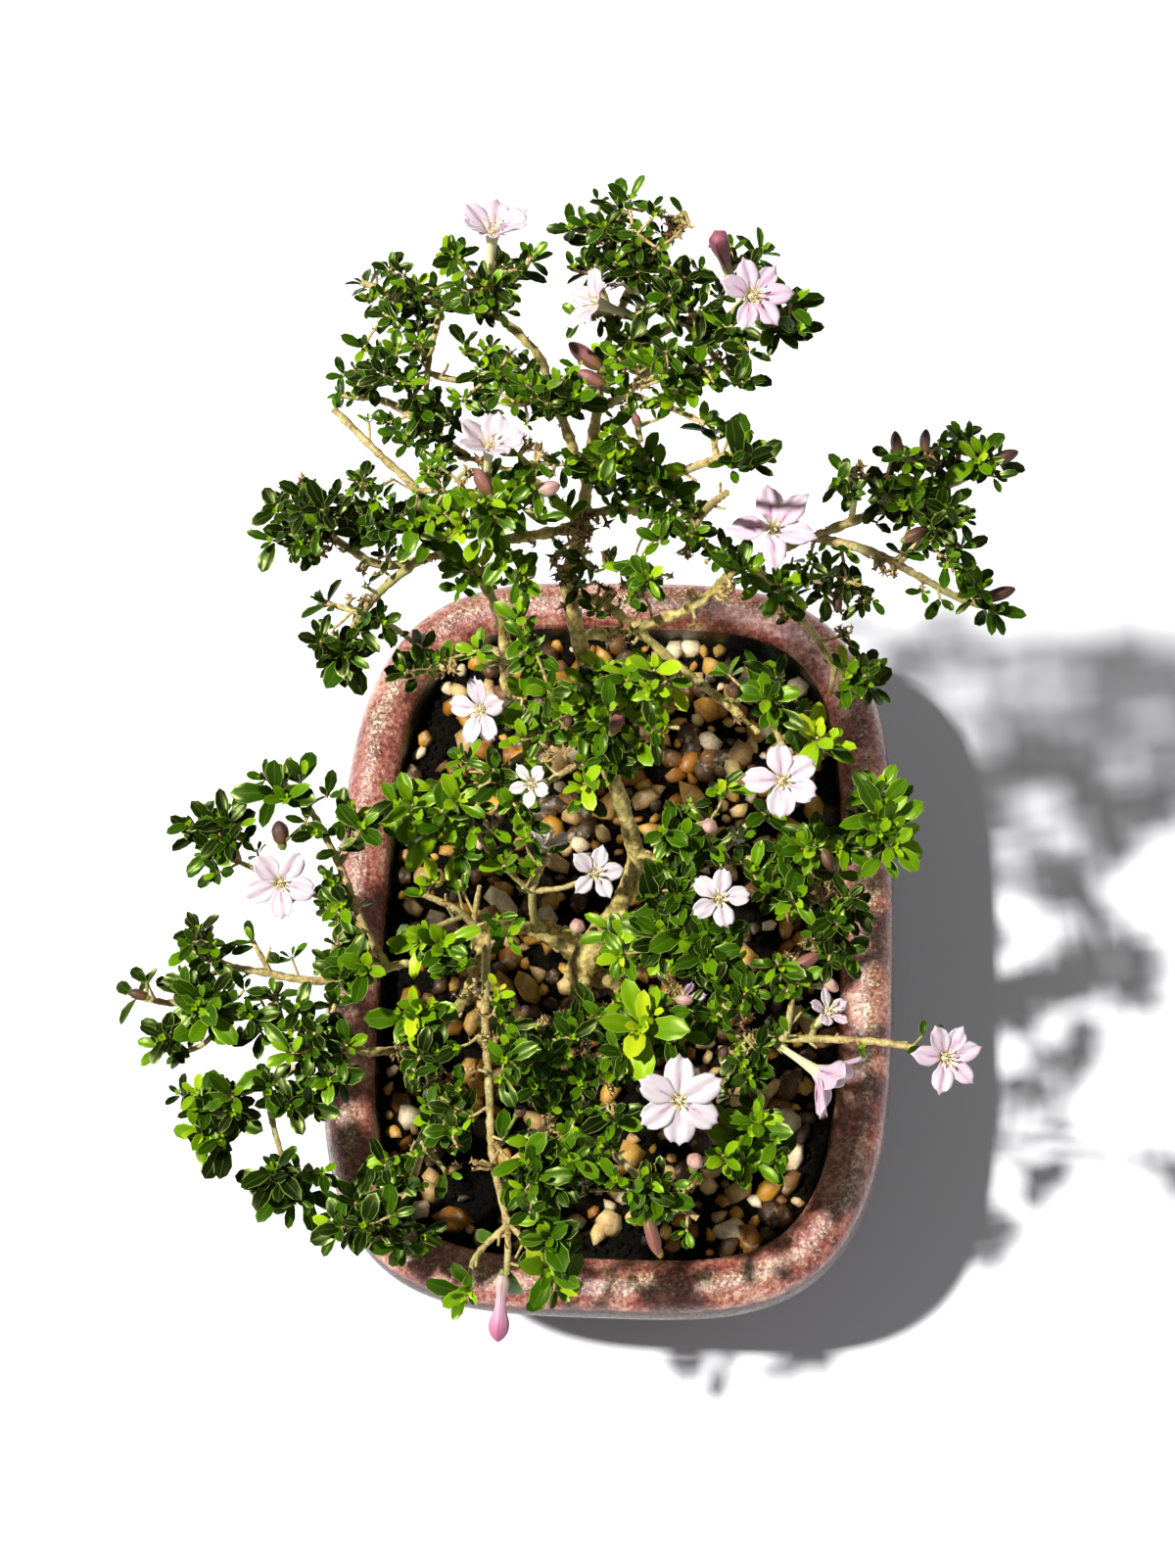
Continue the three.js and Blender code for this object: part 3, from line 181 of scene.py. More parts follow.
# Sprays: leaf length, tone, how far apart the shoots stand, which routes bear no leaves, and the
# routes themselves
SPRAYS = {
    "top_tip": (7, 0.2, 2.1, (), [
        [(8, 70, 220), (13, 73, 229), (20, 76, 241)], [(12, 72, 227), (9, 75, 229), (4, 77, 230)],
    ]),
    "top_left": (7, 0.22, 1, (), [
        [(6, 67, 215), (4, 72, 219), (1, 77, 222)], [(5, 70, 217), (0, 64, 225)],
        [(3, 74, 220), (8, 72, 228)],
    ]),
    "crown_right": (8, 0.3, 2.1, (3, 4), [
        [(3, 62, 207), (13, 63, 218), (21, 62, 227), (29, 59, 233), (37, 55, 237)],
        [(26, 60, 231), (28, 71, 229), (34, 77, 227)], [(20, 62, 226), (25, 58, 222), (30, 53, 219)],
        [(10, 62, 215), (12, 63, 221), (10, 64, 225)], [(29, 59, 233), (31, 58, 237)],
    ]),
    "crown_middle": (8, 0.36, 1, (), [
        [(2, 58, 200), (9, 55, 213), (15, 53, 226)], [(8, 56, 212), (17, 51, 214), (24, 47, 215)],
        [(6, 57, 207), (0, 52, 212)], [(9, 55, 213), (12, 45, 212)],
    ]),
    "left_top_tip": (7, 0.16, 2.1, (), [
        [(-24, 74, 212), (-31, 78, 208), (-38, 81, 205), (-46, 87, 200)],
        [(-34, 79, 207), (-38, 76, 201)], [(-38, 81, 205), (-38, 80, 216)],
        [(-28, 76, 209), (-30, 64, 209), (-30, 54, 208)], [(-30, 68, 209), (-39, 70, 201)],
        [(-30, 61, 209), (-23, 60, 208), (-16, 62, 211)],
    ]),
    "left_top": (7.5, 0.24, 2.1, (2,), [
        [(-18, 73, 210), (-22, 81, 210), (-26, 88, 208)],
        [(-21, 79, 210), (-14, 78, 215), (-10, 80, 220)],
        [(-21, 79, 210), (-19, 73, 224), (-16, 68, 234)],
    ]),
    "left_upper": (7, 0.2, 2.1, (), [
        [(-24, 54, 188), (-33, 61, 188), (-42, 69, 184), (-53, 74, 178)],
        [(-32, 60, 188), (-27, 57, 200)], [(-28, 57, 188), (-31, 48, 195)],
    ]),
    "centre_left": (8, 0.4, 1, (3,), [
        [(-10, 51, 183), (-15, 44, 192), (-21, 38, 202)], [(-14, 45, 190), (-18, 37, 194)],
        [(-12, 49, 186), (-8, 43, 207)], [(-18, 41, 196), (-18, 42, 203)],
    ]),
    "centre_large": (9, 0.42, 1, (), [
        [(-6, 60, 198), (-7, 55, 210), (-6, 51, 221)], [(-7, 58, 204), (0, 55, 216)],
        [(-7, 55, 210), (-12, 58, 216)],
    ]),
    "left_far": (6.5, 0.08, 2.1, (), [
        [(-33, 43, 165), (-44, 42, 164), (-54, 48, 163), (-63, 53, 163), (-68, 57, 162)],
        [(-54, 48, 163), (-55, 49, 177)], [(-59, 51, 163), (-63, 48, 159)],
    ]),
    "left_mid": (7.5, 0.22, 2.1, (), [
        [(-31, 44, 163), (-34, 47, 176), (-34, 48, 185), (-41, 53, 190), (-51, 62, 193)],
        [(-34, 47, 176), (-41, 51, 174)], [(-34, 48, 185), (-27, 42, 197)],
    ]),
    "left_hanging": (8, 0.16, 2.1, (), [
        [(-35, 43, 166), (-43, 38, 162), (-49, 36, 153), (-54, 34, 143), (-56, 33, 137)],
        [(-49, 36, 153), (-58, 40, 150)], [(-49, 36, 153), (-43, 36, 146), (-38, 35, 137)],
    ]),
    "centre_low_left": (9, 0.46, 1, (), [
        [(-20, 31, 133), (-14, 29, 153), (-13, 26, 165)], [(-18, 30, 141), (-25, 31, 146)],
        [(-14, 29, 153), (-11, 24, 161)],
    ]),
    "right_far": (8, 0.2, 2.1, (), [
        [(48, 47, 171), (59, 52, 172), (73, 58, 172), (83, 65, 171)],
        [(53, 49, 171), (53, 50, 184), (51, 50, 191)], [(63, 53, 172), (63, 57, 182), (62, 58, 188)],
        [(73, 58, 172), (75, 67, 176)],
    ]),
    "right_low": (8, 0.2, 2.1, (), [
        [(45, 46, 170), (57, 44, 169), (67, 42, 162), (76, 40, 156), (83, 40, 152)],
        [(62, 43, 165), (69, 46, 173), (75, 43, 173)], [(76, 40, 156), (79, 43, 159)],
    ]),
    "right_hanging": (8, 0.26, 2.1, (), [
        [(32, 43, 166), (39, 41, 155), (46, 39, 140), (52, 35, 129), (59, 33, 127)],
        [(38, 41, 157), (44, 43, 160), (50, 41, 154)], [(51, 36, 131), (50, 32, 124)],
    ]),
    "right_middle": (9, 0.4, 1, (), [
        [(19, 45, 173), (24, 44, 187), (28, 41, 199)], [(21, 44, 179), (17, 43, 193)],
        [(23, 44, 184), (21, 33, 194)],
    ]),
    "right_large": (10, 0.36, 2.1, (), [
        [(8, 48, 178), (17, 48, 192), (26, 45, 205), (32, 43, 213)], [(17, 48, 192), (12, 48, 200)],
        [(26, 45, 205), (25, 53, 203)],
    ]),
    "diagonal": (9, 0.42, 1, (2,), [
        [(29, 21, 141), (32, 28, 137), (35, 31, 135)], [(30, 24, 139), (36, 25, 135), (42, 22, 130)],
        [(36, 25, 135), (41, 14, 130), (41, 10, 131), (40, 7, 134)],
    ]),
    "centre_bright": (10, 0.56, 1, (), [
        [(-2, 29, 138), (7, 27, 141), (15, 26, 145)], [(8, 27, 141), (12, 20, 137), (18, 18, 137)],
        [(4, 28, 140), (3, 23, 134)],
    ]),
    "centre_rosettes": (9, 0.46, 1, (), [
        [(0, 22, 121), (-4, 15, 124), (-11, 11, 122)], [(-1, 20, 122), (-8, 23, 128), (-12, 20, 129)],
        [(-2, 18, 123), (5, 17, 122)],
    ]),
    "left_inner_back": (8, 0.4, 1, (), [
        [(-11, 22, 119), (-23, 17, 112), (-33, 10, 104), (-41, 7, 99)], [(-24, 16, 111), (-31, 20, 112)],
        [(-32, 11, 105), (-25, 3, 97)], [(-17, 19, 115), (-18, 12, 108)],
    ]),
    "right_rim": (9, 0.5, 1, (), [
        [(32, 0, 105), (45, 0, 112), (53, 2, 118), (58, 2, 120), (65, 1, 121)],
        [(57, 2, 120), (61, 9, 127)], [(53, 2, 118), (52, -5, 110)],
        [(37, 0, 108), (43, -5, 104), (50, -9, 102)], [(43, -5, 104), (42, -12, 106)],
    ]),
    "right_inner": (8, 0.3, 1, (), [
        [(28, 1, 103), (23, 7, 107), (20, 11, 111)], [(27, 2, 104), (33, 8, 108), (37, 9, 112)],
        [(25, 4, 105), (23, 6, 113)],
    ]),
    "mid_right": (8, 0.32, 1, (3,), [
        [(12, -18, 84), (18, -16, 93), (28, -14, 99)], [(16, -17, 90), (12, -12, 96)],
        [(24, -15, 97), (30, -20, 93)], [(28, -14, 99), (26, -10, 105)],
    ]),
    "right_reach": (8, 0.32, 1, (3,), [
        [(24, -32, 93), (33, -39, 99), (42, -40, 104), (52, -41, 108), (64, -43, 113), (73, -45, 113)],
        [(42, -40, 104), (44, -28, 106), (50, -20, 109), (55, -14, 112)],
        [(44, -28, 106), (51, -28, 103)], [(47, -41, 106), (48, -38, 107)],
        [(33, -39, 99), (36, -50, 101), (38, -62, 97)], [(36, -50, 101), (30, -58, 99)],
    ]),
    "front_bloom": (9, 0.34, 1, (2,), [
        [(22, -30, 91), (19, -39, 102), (12, -44, 109)], [(20, -35, 98), (14, -32, 101)],
        [(17, -41, 104), (19, -48, 107), (19, -55, 109)],
    ]),
    "left_inner": (8, 0.42, 1, (), [
        [(-25, -16, 96), (-31, -13, 105), (-38, -11, 109)], [(-30, -14, 103), (-37, -20, 110)],
        [(-28, -15, 100), (-26, -8, 107)],
    ]),
    "centre_inner": (8, 0.4, 1, (2,), [
        [(-16, -8, 80), (-16, -3, 90), (-12, 4, 97)], [(-16, -3, 89), (-22, 0, 98)],
        [(-16, -3, 90), (-9, -2, 90), (-3, 0, 92)],
    ]),
    "front_left": (9, 0.28, 1, (), [
        [(-37, -43, 104), (-34, -53, 104), (-36, -66, 97), (-42, -78, 91), (-51, -80, 88)],
        [(-34, -53, 104), (-27, -59, 103)], [(-36, -64, 98), (-30, -70, 97)],
        [(-42, -78, 91), (-40, -84, 88)],
    ]),
    "front_cascade": (10, 0.42, 1, (), [
        [(-25, -16, 96), (-22, -41, 113), (-20, -56, 116),
         (-19, -69, 111), (-16, -82, 102), (-16, -91, 96)],
        [(-16, -80, 104), (-10, -88, 100), (-5, -94, 97)],
        [(-17, -82, 102), (-23, -88, 97), (-24, -94, 94)], [(-19, -66, 112), (-13, -73, 110)],
    ]),
    "front_middle": (9, 0.34, 1, (), [
        [(-2, -44, 92), (0, -59, 99), (5, -65, 101), (14, -72, 99), (24, -78, 97)],
        [(1, -60, 99), (0, -74, 99)], [(5, -65, 101), (8, -60, 106)],
        [(-2, -46, 93), (-8, -61, 104), (-10, -70, 103)], [(-4, -51, 97), (-11, -47, 107)],
        [(-1, -49, 94), (6, -50, 104)],
    ]),
    "left_upright": (8, 0.34, 1, (), [
        [(-45, -27, 106), (-50, -20, 112), (-55, -9, 121), (-61, 1, 127), (-67, 6, 131)],
        [(-55, -9, 121), (-51, -2, 124)],
        [(-50, -20, 112), (-59, -14, 113), (-68, -11, 114), (-78, -7, 116), (-85, -6, 117)],
        [(-78, -7, 116), (-80, 0, 120)],
    ]),
    "left_tip": (7.5, 0.22, 2.1, (), [
        [(-43, -26, 105), (-59, -31, 108), (-72, -30, 110), (-80, -29, 112), (-85, -25, 115)],
        [(-70, -30, 110), (-74, -24, 113)], [(-59, -31, 108), (-56, -23, 110)],
        [(-77, -29, 111), (-88, -33, 112)],
    ]),
    "left_tip_low": (7.5, 0.22, 2.1, (), [
        [(-49, -46, 106), (-57, -43, 109), (-66, -42, 111),
         (-80, -39, 114), (-91, -39, 115), (-98, -38, 117)],
        [(-77, -40, 113), (-83, -46, 109), (-88, -48, 108)], [(-66, -42, 111), (-68, -36, 114)],
        [(-57, -43, 109), (-55, -37, 111)],
    ]),
    "left_front": (8.5, 0.3, 2.1, (), [
        [(-53, -46, 108), (-63, -50, 106), (-70, -54, 105), (-77, -56, 105), (-83, -57, 105)],
        [(-70, -54, 105), (-68, -62, 100), (-65, -72, 94), (-64, -76, 92)],
        [(-77, -56, 105), (-80, -64, 100)], [(-63, -50, 106), (-60, -56, 102)],
    ]),
}

# Blooms: foot, mouth and width across, the way of each petal (degrees clockwise from up in the
# camera's frame), how far the petals open, half a petal's width as a share of its length, how
# pointed its tip is, and how pink it is
BLOOMS = {
    "top_left": ((-16, 68, 234), (-15, 72, 241), 13, (10, 70, 130, 190, 250, 310), 54, 0.4, 0.4, 0.4),
    "top": ((10, 64, 225), (3, 64, 230), 12, (0, 72, 144, 216, 288), 68, 0.4, 0.4, 0.45),
    "crown": ((31, 58, 237), (33, 56, 245), 14, (343, 37, 86, 142, 201, 290), 80, 0.28, 0.6, 0.52),
    "left_upper": ((-18, 42, 203), (-17, 45, 210), 13, (18, 90, 162, 234, 306), 58, 0.42, 0.35, 0.35),
    "right_back": ((38, 45, 169), (37, 43, 181), 18, (352, 50, 107, 175, 268), 82, 0.3, 0.8, 0.55),
    "left": ((-19, 28, 127), (-25, 22, 135), 15, (8, 75, 150, 205, 285), 78, 0.31, 0.15, 0.22),
    "right": ((40, 7, 134), (40, 4, 143), 16, (353, 57, 115, 184, 272), 82, 0.37, 0.12, 0.25),
    "centre_small": ((-11, 11, 122), (-14, 8, 128), 10, (40, 112, 184, 256, 328), 72, 0.3, 0.5, 0.05),
    "centre": ((-3, 0, 92), (-1, -2, 100), 13, (15, 82, 150, 228, 310), 78, 0.3, 0.6, 0.08),
    "right_inner": ((26, -10, 105), (27, -12, 114), 13, (10, 82, 166, 238, 310), 84, 0.33, 0.05, 0.15),
    "front": ((19, -55, 109), (20, -58, 118), 20, (0, 62, 120, 180, 240, 298), 82, 0.32, 0.2, 0.16),
    "front_right": ((40, -41, 103), (49, -47, 103), 17, (10, 82, 154, 226, 298), 46, 0.46, 0.5, 0.6),
    "right_tip": ((73, -45, 113), (75, -48, 121), 15, (337, 27, 73, 134, 193, 277), 80, 0.29, 0.6, 0.42),
    "left_tip": ((-68, -11, 114), (-67, -14, 123), 16, (319, 33, 106, 177, 248), 80, 0.32, 0.1, 0.25),
    "right_small": ((48, -38, 107), (51, -36, 113), 9, (0, 72, 144, 216, 288), 66, 0.3, 0.5, 0.35),
}
# Blooms half hidden among the leaves
HIDDEN_BLOOMS = {
    "top": ((12, 68, 220), (9, 72, 225), 10, (30, 102, 174, 246, 318), 60, 0.3, 0.5, 0.4),
    "inner": ((14, -4, 90), (17, -2, 96), 9, (20, 92, 164, 236, 308), 55, 0.32, 0.3, 0.1),
    "low": ((17, -26, 86), (20, -28, 91), 7, (0, 72, 144, 216, 288), 40, 0.3, 0.4, 0.9),
    "left": ((-14, 3, 94), (-12, 6, 99), 8, (10, 82, 154, 226, 298), 50, 0.3, 0.5, 0.1),
}
BUDS = {
    "top": ((28, 71, 229), (26, 72, 240), 3.5),
    "front": ((-17, -91, 95), (-18, -104, 88), 4.0),
}
# Small buds: where each begins and ends in the camera's frame, and its width there
SMALL_BUDS = {
    "mauve": [
        (614, 376, 581, 350, 17), (618, 394, 590, 379, 15), (500, 505, 486, 478, 15),
        (625, 747, 635, 727, 14), (810, 989, 836, 974, 14), (661, 1243, 672, 1282, 14),
        (652, 436, 648, 422, 9),
    ],
    "pink": [
        (549, 503, 572, 495, 15), (722, 848, 728, 838, 17), (588, 950, 592, 940, 16),
        (708, 1192, 712, 1178, 17), (690, 1020, 708, 1022, 11), (841, 999, 856, 1012, 12),
    ],
    "brown": [
        (1010, 473, 1040, 461, 13), (944, 462, 946, 438, 11), (918, 466, 914, 440, 12),
        (1004, 612, 1037, 601, 13), (924, 551, 947, 540, 13), (748, 712, 750, 698, 15),
        (579, 742, 582, 730, 11), (506, 840, 512, 826, 13), (840, 868, 851, 890, 14),
        (737, 1080, 741, 1068, 11), (533, 1038, 539, 1027, 11), (528, 1138, 536, 1130, 12),
        (288, 862, 284, 838, 17), (150, 1018, 131, 1013, 11), (855, 605, 855, 626, 10),
    ],
}
# Clumps of dry stipules on the wood: middle in the frame, spread and number
DRY_PATCHES = [
    (600, 545, 26, 26), (560, 585, 20, 14), (625, 600, 20, 12), (480, 480, 16, 8), (655, 395, 14, 8),
    (690, 232, 14, 14), (700, 590, 18, 10), (560, 770, 12, 6), (838, 912, 18, 14), (805, 962, 18, 14),
    (480, 1010, 14, 6), (880, 480, 12, 6), (405, 1070, 12, 8), (470, 1185, 10, 5), (545, 455, 18, 8),
    (640, 640, 20, 10), (745, 610, 16, 8), (365, 600, 14, 8), (340, 560, 14, 8), (295, 470, 14, 6),
    (620, 1120, 16, 8), (560, 1150, 14, 6), (500, 1060, 10, 6), (860, 640, 14, 8), (900, 590, 20, 8),
    (690, 1012, 14, 9), (560, 1035, 14, 9), (762, 1052, 14, 9), (452, 1100, 12, 7), (600, 1070, 12, 7),
    (455, 690, 12, 6), (600, 320, 12, 6), (735, 365, 12, 6),
]
# Spent calyxes: four-pointed dry stars at places in the frame, with their width there
DRY_STARS = [
    (577, 768, 22), (716, 650, 17), (752, 735, 16), (545, 392, 18), (600, 548, 16), (565, 575, 18),
    (700, 590, 15), (950, 465, 16), (905, 488, 14), (968, 520, 17), (655, 395, 15), (800, 640, 13),
    (735, 1040, 13), (500, 540, 15), (622, 705, 14), (820, 905, 13), (640, 640, 16), (575, 620, 18),
    (480, 1185, 12), (710, 1208, 13), (860, 625, 14), (515, 385, 14), (692, 240, 15), (705, 232, 14),
]

# Leafy shoots between the sprays, in patches of the camera's frame of 1200 by 1601: the patch's
# middle, half its width and height, how many tufts it has, the length of their leaves, and their
# tone; each tuft grows from the nearest wood behind its place
TUFTS = [
    (408, 300, 42, 18, 7, 4.6, 0.16), (497, 301, 30, 22, 7, 4.8, 0.2), (503, 267, 45, 9, 5, 5.2, 0.26),
    (486, 262, 36, 4, 2, 6.2, 0.6), (375, 376, 26, 32, 7, 4.4, 0.16), (422, 376, 24, 38, 6, 4.4, 0.34),
    (428, 438, 32, 14, 5, 4.8, 0.22), (497, 372, 38, 30, 9, 4.4, 0.28), (508, 416, 40, 16, 6, 4.6, 0.36),
    (441, 478, 16, 6, 3, 3.8, 0.3), (368, 495, 18, 5, 3, 3.8, 0.3), (312, 520, 36, 20, 7, 5.8, 0.06),
    (312, 550, 36, 16, 6, 5.6, 0.08), (378, 532, 30, 22, 7, 5.4, 0.14), (448, 535, 30, 18, 6, 6.4, 0.4),
    (495, 532, 46, 42, 7, 6.4, 0.64), (526, 510, 44, 22, 7, 6.0, 0.52), (515, 585, 48, 20, 6, 4.8, 0.36),
    (344, 663, 22, 24, 6, 6.4, 0.12), (615, 228, 26, 26, 6, 5.4, 0.24), (614, 277, 26, 20, 6, 4.4, 0.1),
    (666, 231, 30, 24, 7, 4.6, 0.34), (684, 284, 28, 16, 6, 5.0, 0.14), (683, 308, 42, 12, 5, 5.0, 0.12),
    (746, 264, 38, 18, 5, 5.4, 0.22), (740, 345, 40, 12, 5, 6.0, 0.36), (801, 328, 14, 12, 3, 7.0, 0.3),
    (758, 385, 5, 16, 2, 7.0, 0.3), (711, 374, 36, 16, 5, 5.2, 0.38), (678, 403, 34, 19, 6, 5.4, 0.5),
    (658, 450, 36, 18, 6, 5.6, 0.62), (630, 357, 28, 18, 6, 5.0, 0.42), (573, 400, 30, 30, 6, 6.2, 0.36),
    (610, 471, 36, 16, 7, 5.6, 0.48), (643, 500, 36, 21, 7, 5.4, 0.3), (720, 489, 32, 21, 6, 6.4, 0.34),
    (760, 466, 12, 5, 2, 7.0, 0.12), (719, 536, 36, 18, 6, 5.2, 0.28), (653, 573, 22, 30, 7, 5.2, 0.42),
    (623, 592, 54, 26, 7, 5.0, 0.3), (578, 555, 34, 38, 7, 5.2, 0.46), (749, 584, 20, 28, 6, 5.6, 0.3),
    (796, 597, 6, 6, 2, 6.4, 0.6), (874, 495, 26, 15, 7, 4.8, 0.2), (941, 463, 38, 10, 7, 4.8, 0.22),
    (1008, 470, 26, 16, 6, 5.6, 0.26), (935, 512, 36, 17, 7, 6.0, 0.4), (959, 537, 30, 16, 7, 4.8, 0.12),
    (962, 587, 28, 22, 5, 4.8, 0.24), (870, 556, 7, 6, 2, 4.8, 0.24), (1016, 607, 16, 21, 5, 6.6, 0.26),
    (865, 604, 17, 9, 5, 4.6, 0.14), (829, 570, 22, 17, 4, 5.0, 0.3), (819, 628, 6, 6, 2, 5.0, 0.3),
    (866, 696, 21, 14, 6, 6.4, 0.4), (218, 852, 30, 22, 6, 6.6, 0.06), (302, 809, 30, 11, 5, 8.6, 0.5),
    (330, 838, 24, 20, 4, 6.6, 0.3), (365, 838, 3, 3, 1, 7.0, 0.58), (370, 988, 9, 5, 2, 7.0, 0.58),
    (340, 910, 22, 15, 6, 6.2, 0.14), (203, 967, 10, 7, 3, 6.4, 0.12), (349, 992, 6, 9, 2, 6.4, 0.12),
    (203, 1020, 18, 28, 5, 7.6, 0.34), (172, 1068, 9, 10, 3, 5.8, 0.14), (246, 1026, 10, 15, 3, 5.8, 0.14),
    (303, 1049, 38, 17, 5, 6.0, 0.22), (338, 1070, 36, 15, 5, 6.2, 0.24), (226, 1123, 36, 17, 5, 7.0, 0.16),
    (224, 1160, 20, 6, 3, 7.2, 0.3), (308, 1120, 32, 24, 6, 6.4, 0.2), (298, 1205, 26, 19, 6, 7.2, 0.12),
    (362, 1243, 19, 20, 5, 7.2, 0.1), (413, 1246, 24, 17, 5, 6.8, 0.14), (425, 1194, 30, 20, 6, 6.0, 0.24),
    (444, 824, 34, 25, 7, 6.6, 0.5), (458, 867, 42, 34, 7, 6.8, 0.58), (485, 905, 37, 15, 7, 6.6, 0.46),
    (438, 949, 17, 14, 4, 7.6, 0.6), (531, 870, 4, 11, 2, 7.6, 0.6), (500, 949, 27, 21, 7, 6.0, 0.36),
    (464, 986, 26, 7, 4, 6.4, 0.44), (545, 923, 7, 24, 3, 6.4, 0.44), (436, 683, 24, 13, 6, 5.6, 0.26),
    (526, 720, 10, 52, 5, 6.8, 0.56), (448, 690, 8, 25, 2, 6.8, 0.56), (524, 633, 11, 6, 2, 6.6, 0.6),
    (659, 748, 11, 5, 2, 6.6, 0.6), (599, 707, 38, 17, 7, 6.4, 0.4), (669, 691, 22, 21, 6, 6.8, 0.58),
    (600, 741, 46, 13, 7, 6.0, 0.38), (613, 773, 44, 13, 7, 6.0, 0.4), (604, 804, 22, 17, 6, 6.4, 0.58),
    (542, 808, 22, 32, 7, 5.8, 0.44), (798, 718, 24, 32, 7, 6.2, 0.26), (842, 758, 8, 5, 2, 7.2, 0.56),
    (743, 802, 4, 8, 2, 7.2, 0.56), (710, 852, 40, 15, 7, 6.2, 0.26), (678, 900, 26, 22, 7, 6.4, 0.3),
    (691, 939, 36, 22, 5, 7.6, 0.46), (713, 970, 37, 14, 7, 6.2, 0.34), (822, 868, 30, 17, 7, 6.4, 0.24),
    (803, 903, 40, 12, 6, 6.4, 0.3), (903, 843, 16, 30, 4, 6.8, 0.52), (858, 942, 14, 38, 7, 4.8, 0.12),
    (810, 979, 22, 34, 7, 5.4, 0.3), (627, 968, 21, 19, 6, 6.6, 0.54), (594, 1034, 38, 15, 7, 5.8, 0.28),
    (558, 1069, 33, 18, 7, 5.8, 0.26), (617, 1083, 25, 23, 7, 6.0, 0.36), (662, 1050, 26, 12, 3, 7.6, 0.42),
    (544, 1178, 10, 9, 2, 7.6, 0.42), (579, 1117, 40, 18, 7, 5.8, 0.28), (585, 1155, 46, 20, 7, 6.0, 0.3),
    (579, 1203, 36, 20, 7, 6.2, 0.34), (734, 1021, 36, 22, 7, 5.8, 0.3), (765, 1079, 24, 25, 7, 6.2, 0.34),
    (789, 1154, 26, 45, 7, 7.6, 0.36), (746, 1181, 27, 9, 4, 6.4, 0.5), (655, 1215, 34, 23, 7, 6.0, 0.36),
    (708, 1242, 1, 1, 1, 12, 0.66), (440, 1073, 28, 21, 7, 6.0, 0.2), (460, 1136, 25, 26, 7, 6.4, 0.24),
    (419, 1031, 22, 14, 4, 6.4, 0.56), (517, 1019, 4, 12, 2, 6.4, 0.56), (508, 1078, 20, 50, 7, 6.0, 0.3),
    (485, 1265, 16, 18, 6, 6.4, 0.2), (484, 1312, 14, 12, 4, 7.4, 0.32), (559, 1266, 15, 6, 3, 7.4, 0.32),
    (558, 1302, 1, 1, 1, 8.6, 0.6), (532, 1215, 19, 25, 6, 6.0, 0.3),
]
# Bare wood, and openings onto the gravel: ends or middle in the frame, and half the width kept clear
OPEN_STRETCHES = [
    (490, 955, 492, 1060, 5), (492, 1060, 494, 1150, 6), (494, 1150, 512, 1250, 6),
    (512, 1250, 516, 1300, 6), (632, 830, 648, 868, 9), (648, 868, 640, 925, 10),
    (526, 338, 562, 372, 8), (330, 415, 372, 440, 6), (372, 440, 412, 500, 6),
    (345, 560, 372, 590, 6), (372, 590, 345, 640, 5), (790, 572, 850, 542, 6),
    (850, 542, 900, 565, 4), (900, 565, 975, 612, 4), (870, 530, 885, 505, 4),
    (655, 640, 745, 715, 7), (745, 715, 780, 748, 6), (372, 1078, 412, 1068, 6),
    (845, 1055, 935, 1058, 6), (320, 808, 348, 880, 4), (348, 880, 378, 950, 5),
    (140, 1015, 180, 1022, 4), (250, 985, 330, 1000, 4), (318, 1145, 330, 1180, 4),
    (608, 330, 618, 300, 3), (590, 975, 612, 1005, 12), (535, 548, 600, 535, 6),
    (690, 250, 702, 215, 6), (510, 640, 512, 700, 7), (880, 455, 880, 455, 4),
]
OPEN_SPOTS = [
    (425, 765, 34, 30), (452, 740, 20, 16), (730, 755, 44, 34), (690, 800, 30, 18), (752, 830, 14, 14),
    (405, 1140, 24, 38), (820, 1110, 40, 24), (838, 1150, 36, 40), (745, 1235, 46, 30),
    (800, 1255, 50, 30), (640, 1272, 40, 14), (580, 650, 26, 18), (720, 650, 40, 16), (400, 1010, 16, 20),
    (400, 880, 16, 24), (600, 870, 22, 18), (540, 1000, 24, 16), (465, 1010, 22, 12), (450, 1185, 18, 16),
    (610, 1238, 34, 18), (640, 810, 22, 16), (820, 650, 30, 16), (560, 450, 14, 10), (720, 590, 18, 10),
    (236, 1082, 32, 12), (318, 1167, 12, 24), (258, 1172, 16, 16), (281, 957, 24, 12), (372, 948, 12, 12),
    (200, 1090, 14, 10), (692, 572, 26, 12), (748, 410, 18, 14), (594, 440, 14, 12), (455, 372, 14, 26),
    (640, 560, 10, 8),
    (835, 700, 20, 22), (660, 830, 14, 18), (640, 1180, 14, 16), (690, 1165, 24, 12), (430, 1230, 12, 12),
]


# ---------------------------------------------------------------- small helpers

def mm(place):
    return Vector(place) * MM


def mix(low, high, share):
    return low + (high - low) * share


def clamp(value, low=0):
    return min(1, max(low, value))


def risen(value, start, run):
    """How far a value is on its way from a start to full, over a run up or down."""
    return clamp((value - start) / run)


def chance(a, b):
    """The part's own repeatable draw from 0 to 1."""
    wave = math.sin(a * 12.9898 + b * 78.233) * 43758.5453
    return wave - math.floor(wave)


def paint(code):
    """A colour as a screen shows it, such as 7a4b4e, as the shader's red, green and blue."""
    parts = [int(code[at:at + 2], 16) / 255 for at in (0, 2, 4)]
    return (*[c / 12.92 if c <= 0.04045 else ((c + 0.055) / 1.055) ** 2.4 for c in parts], 1)


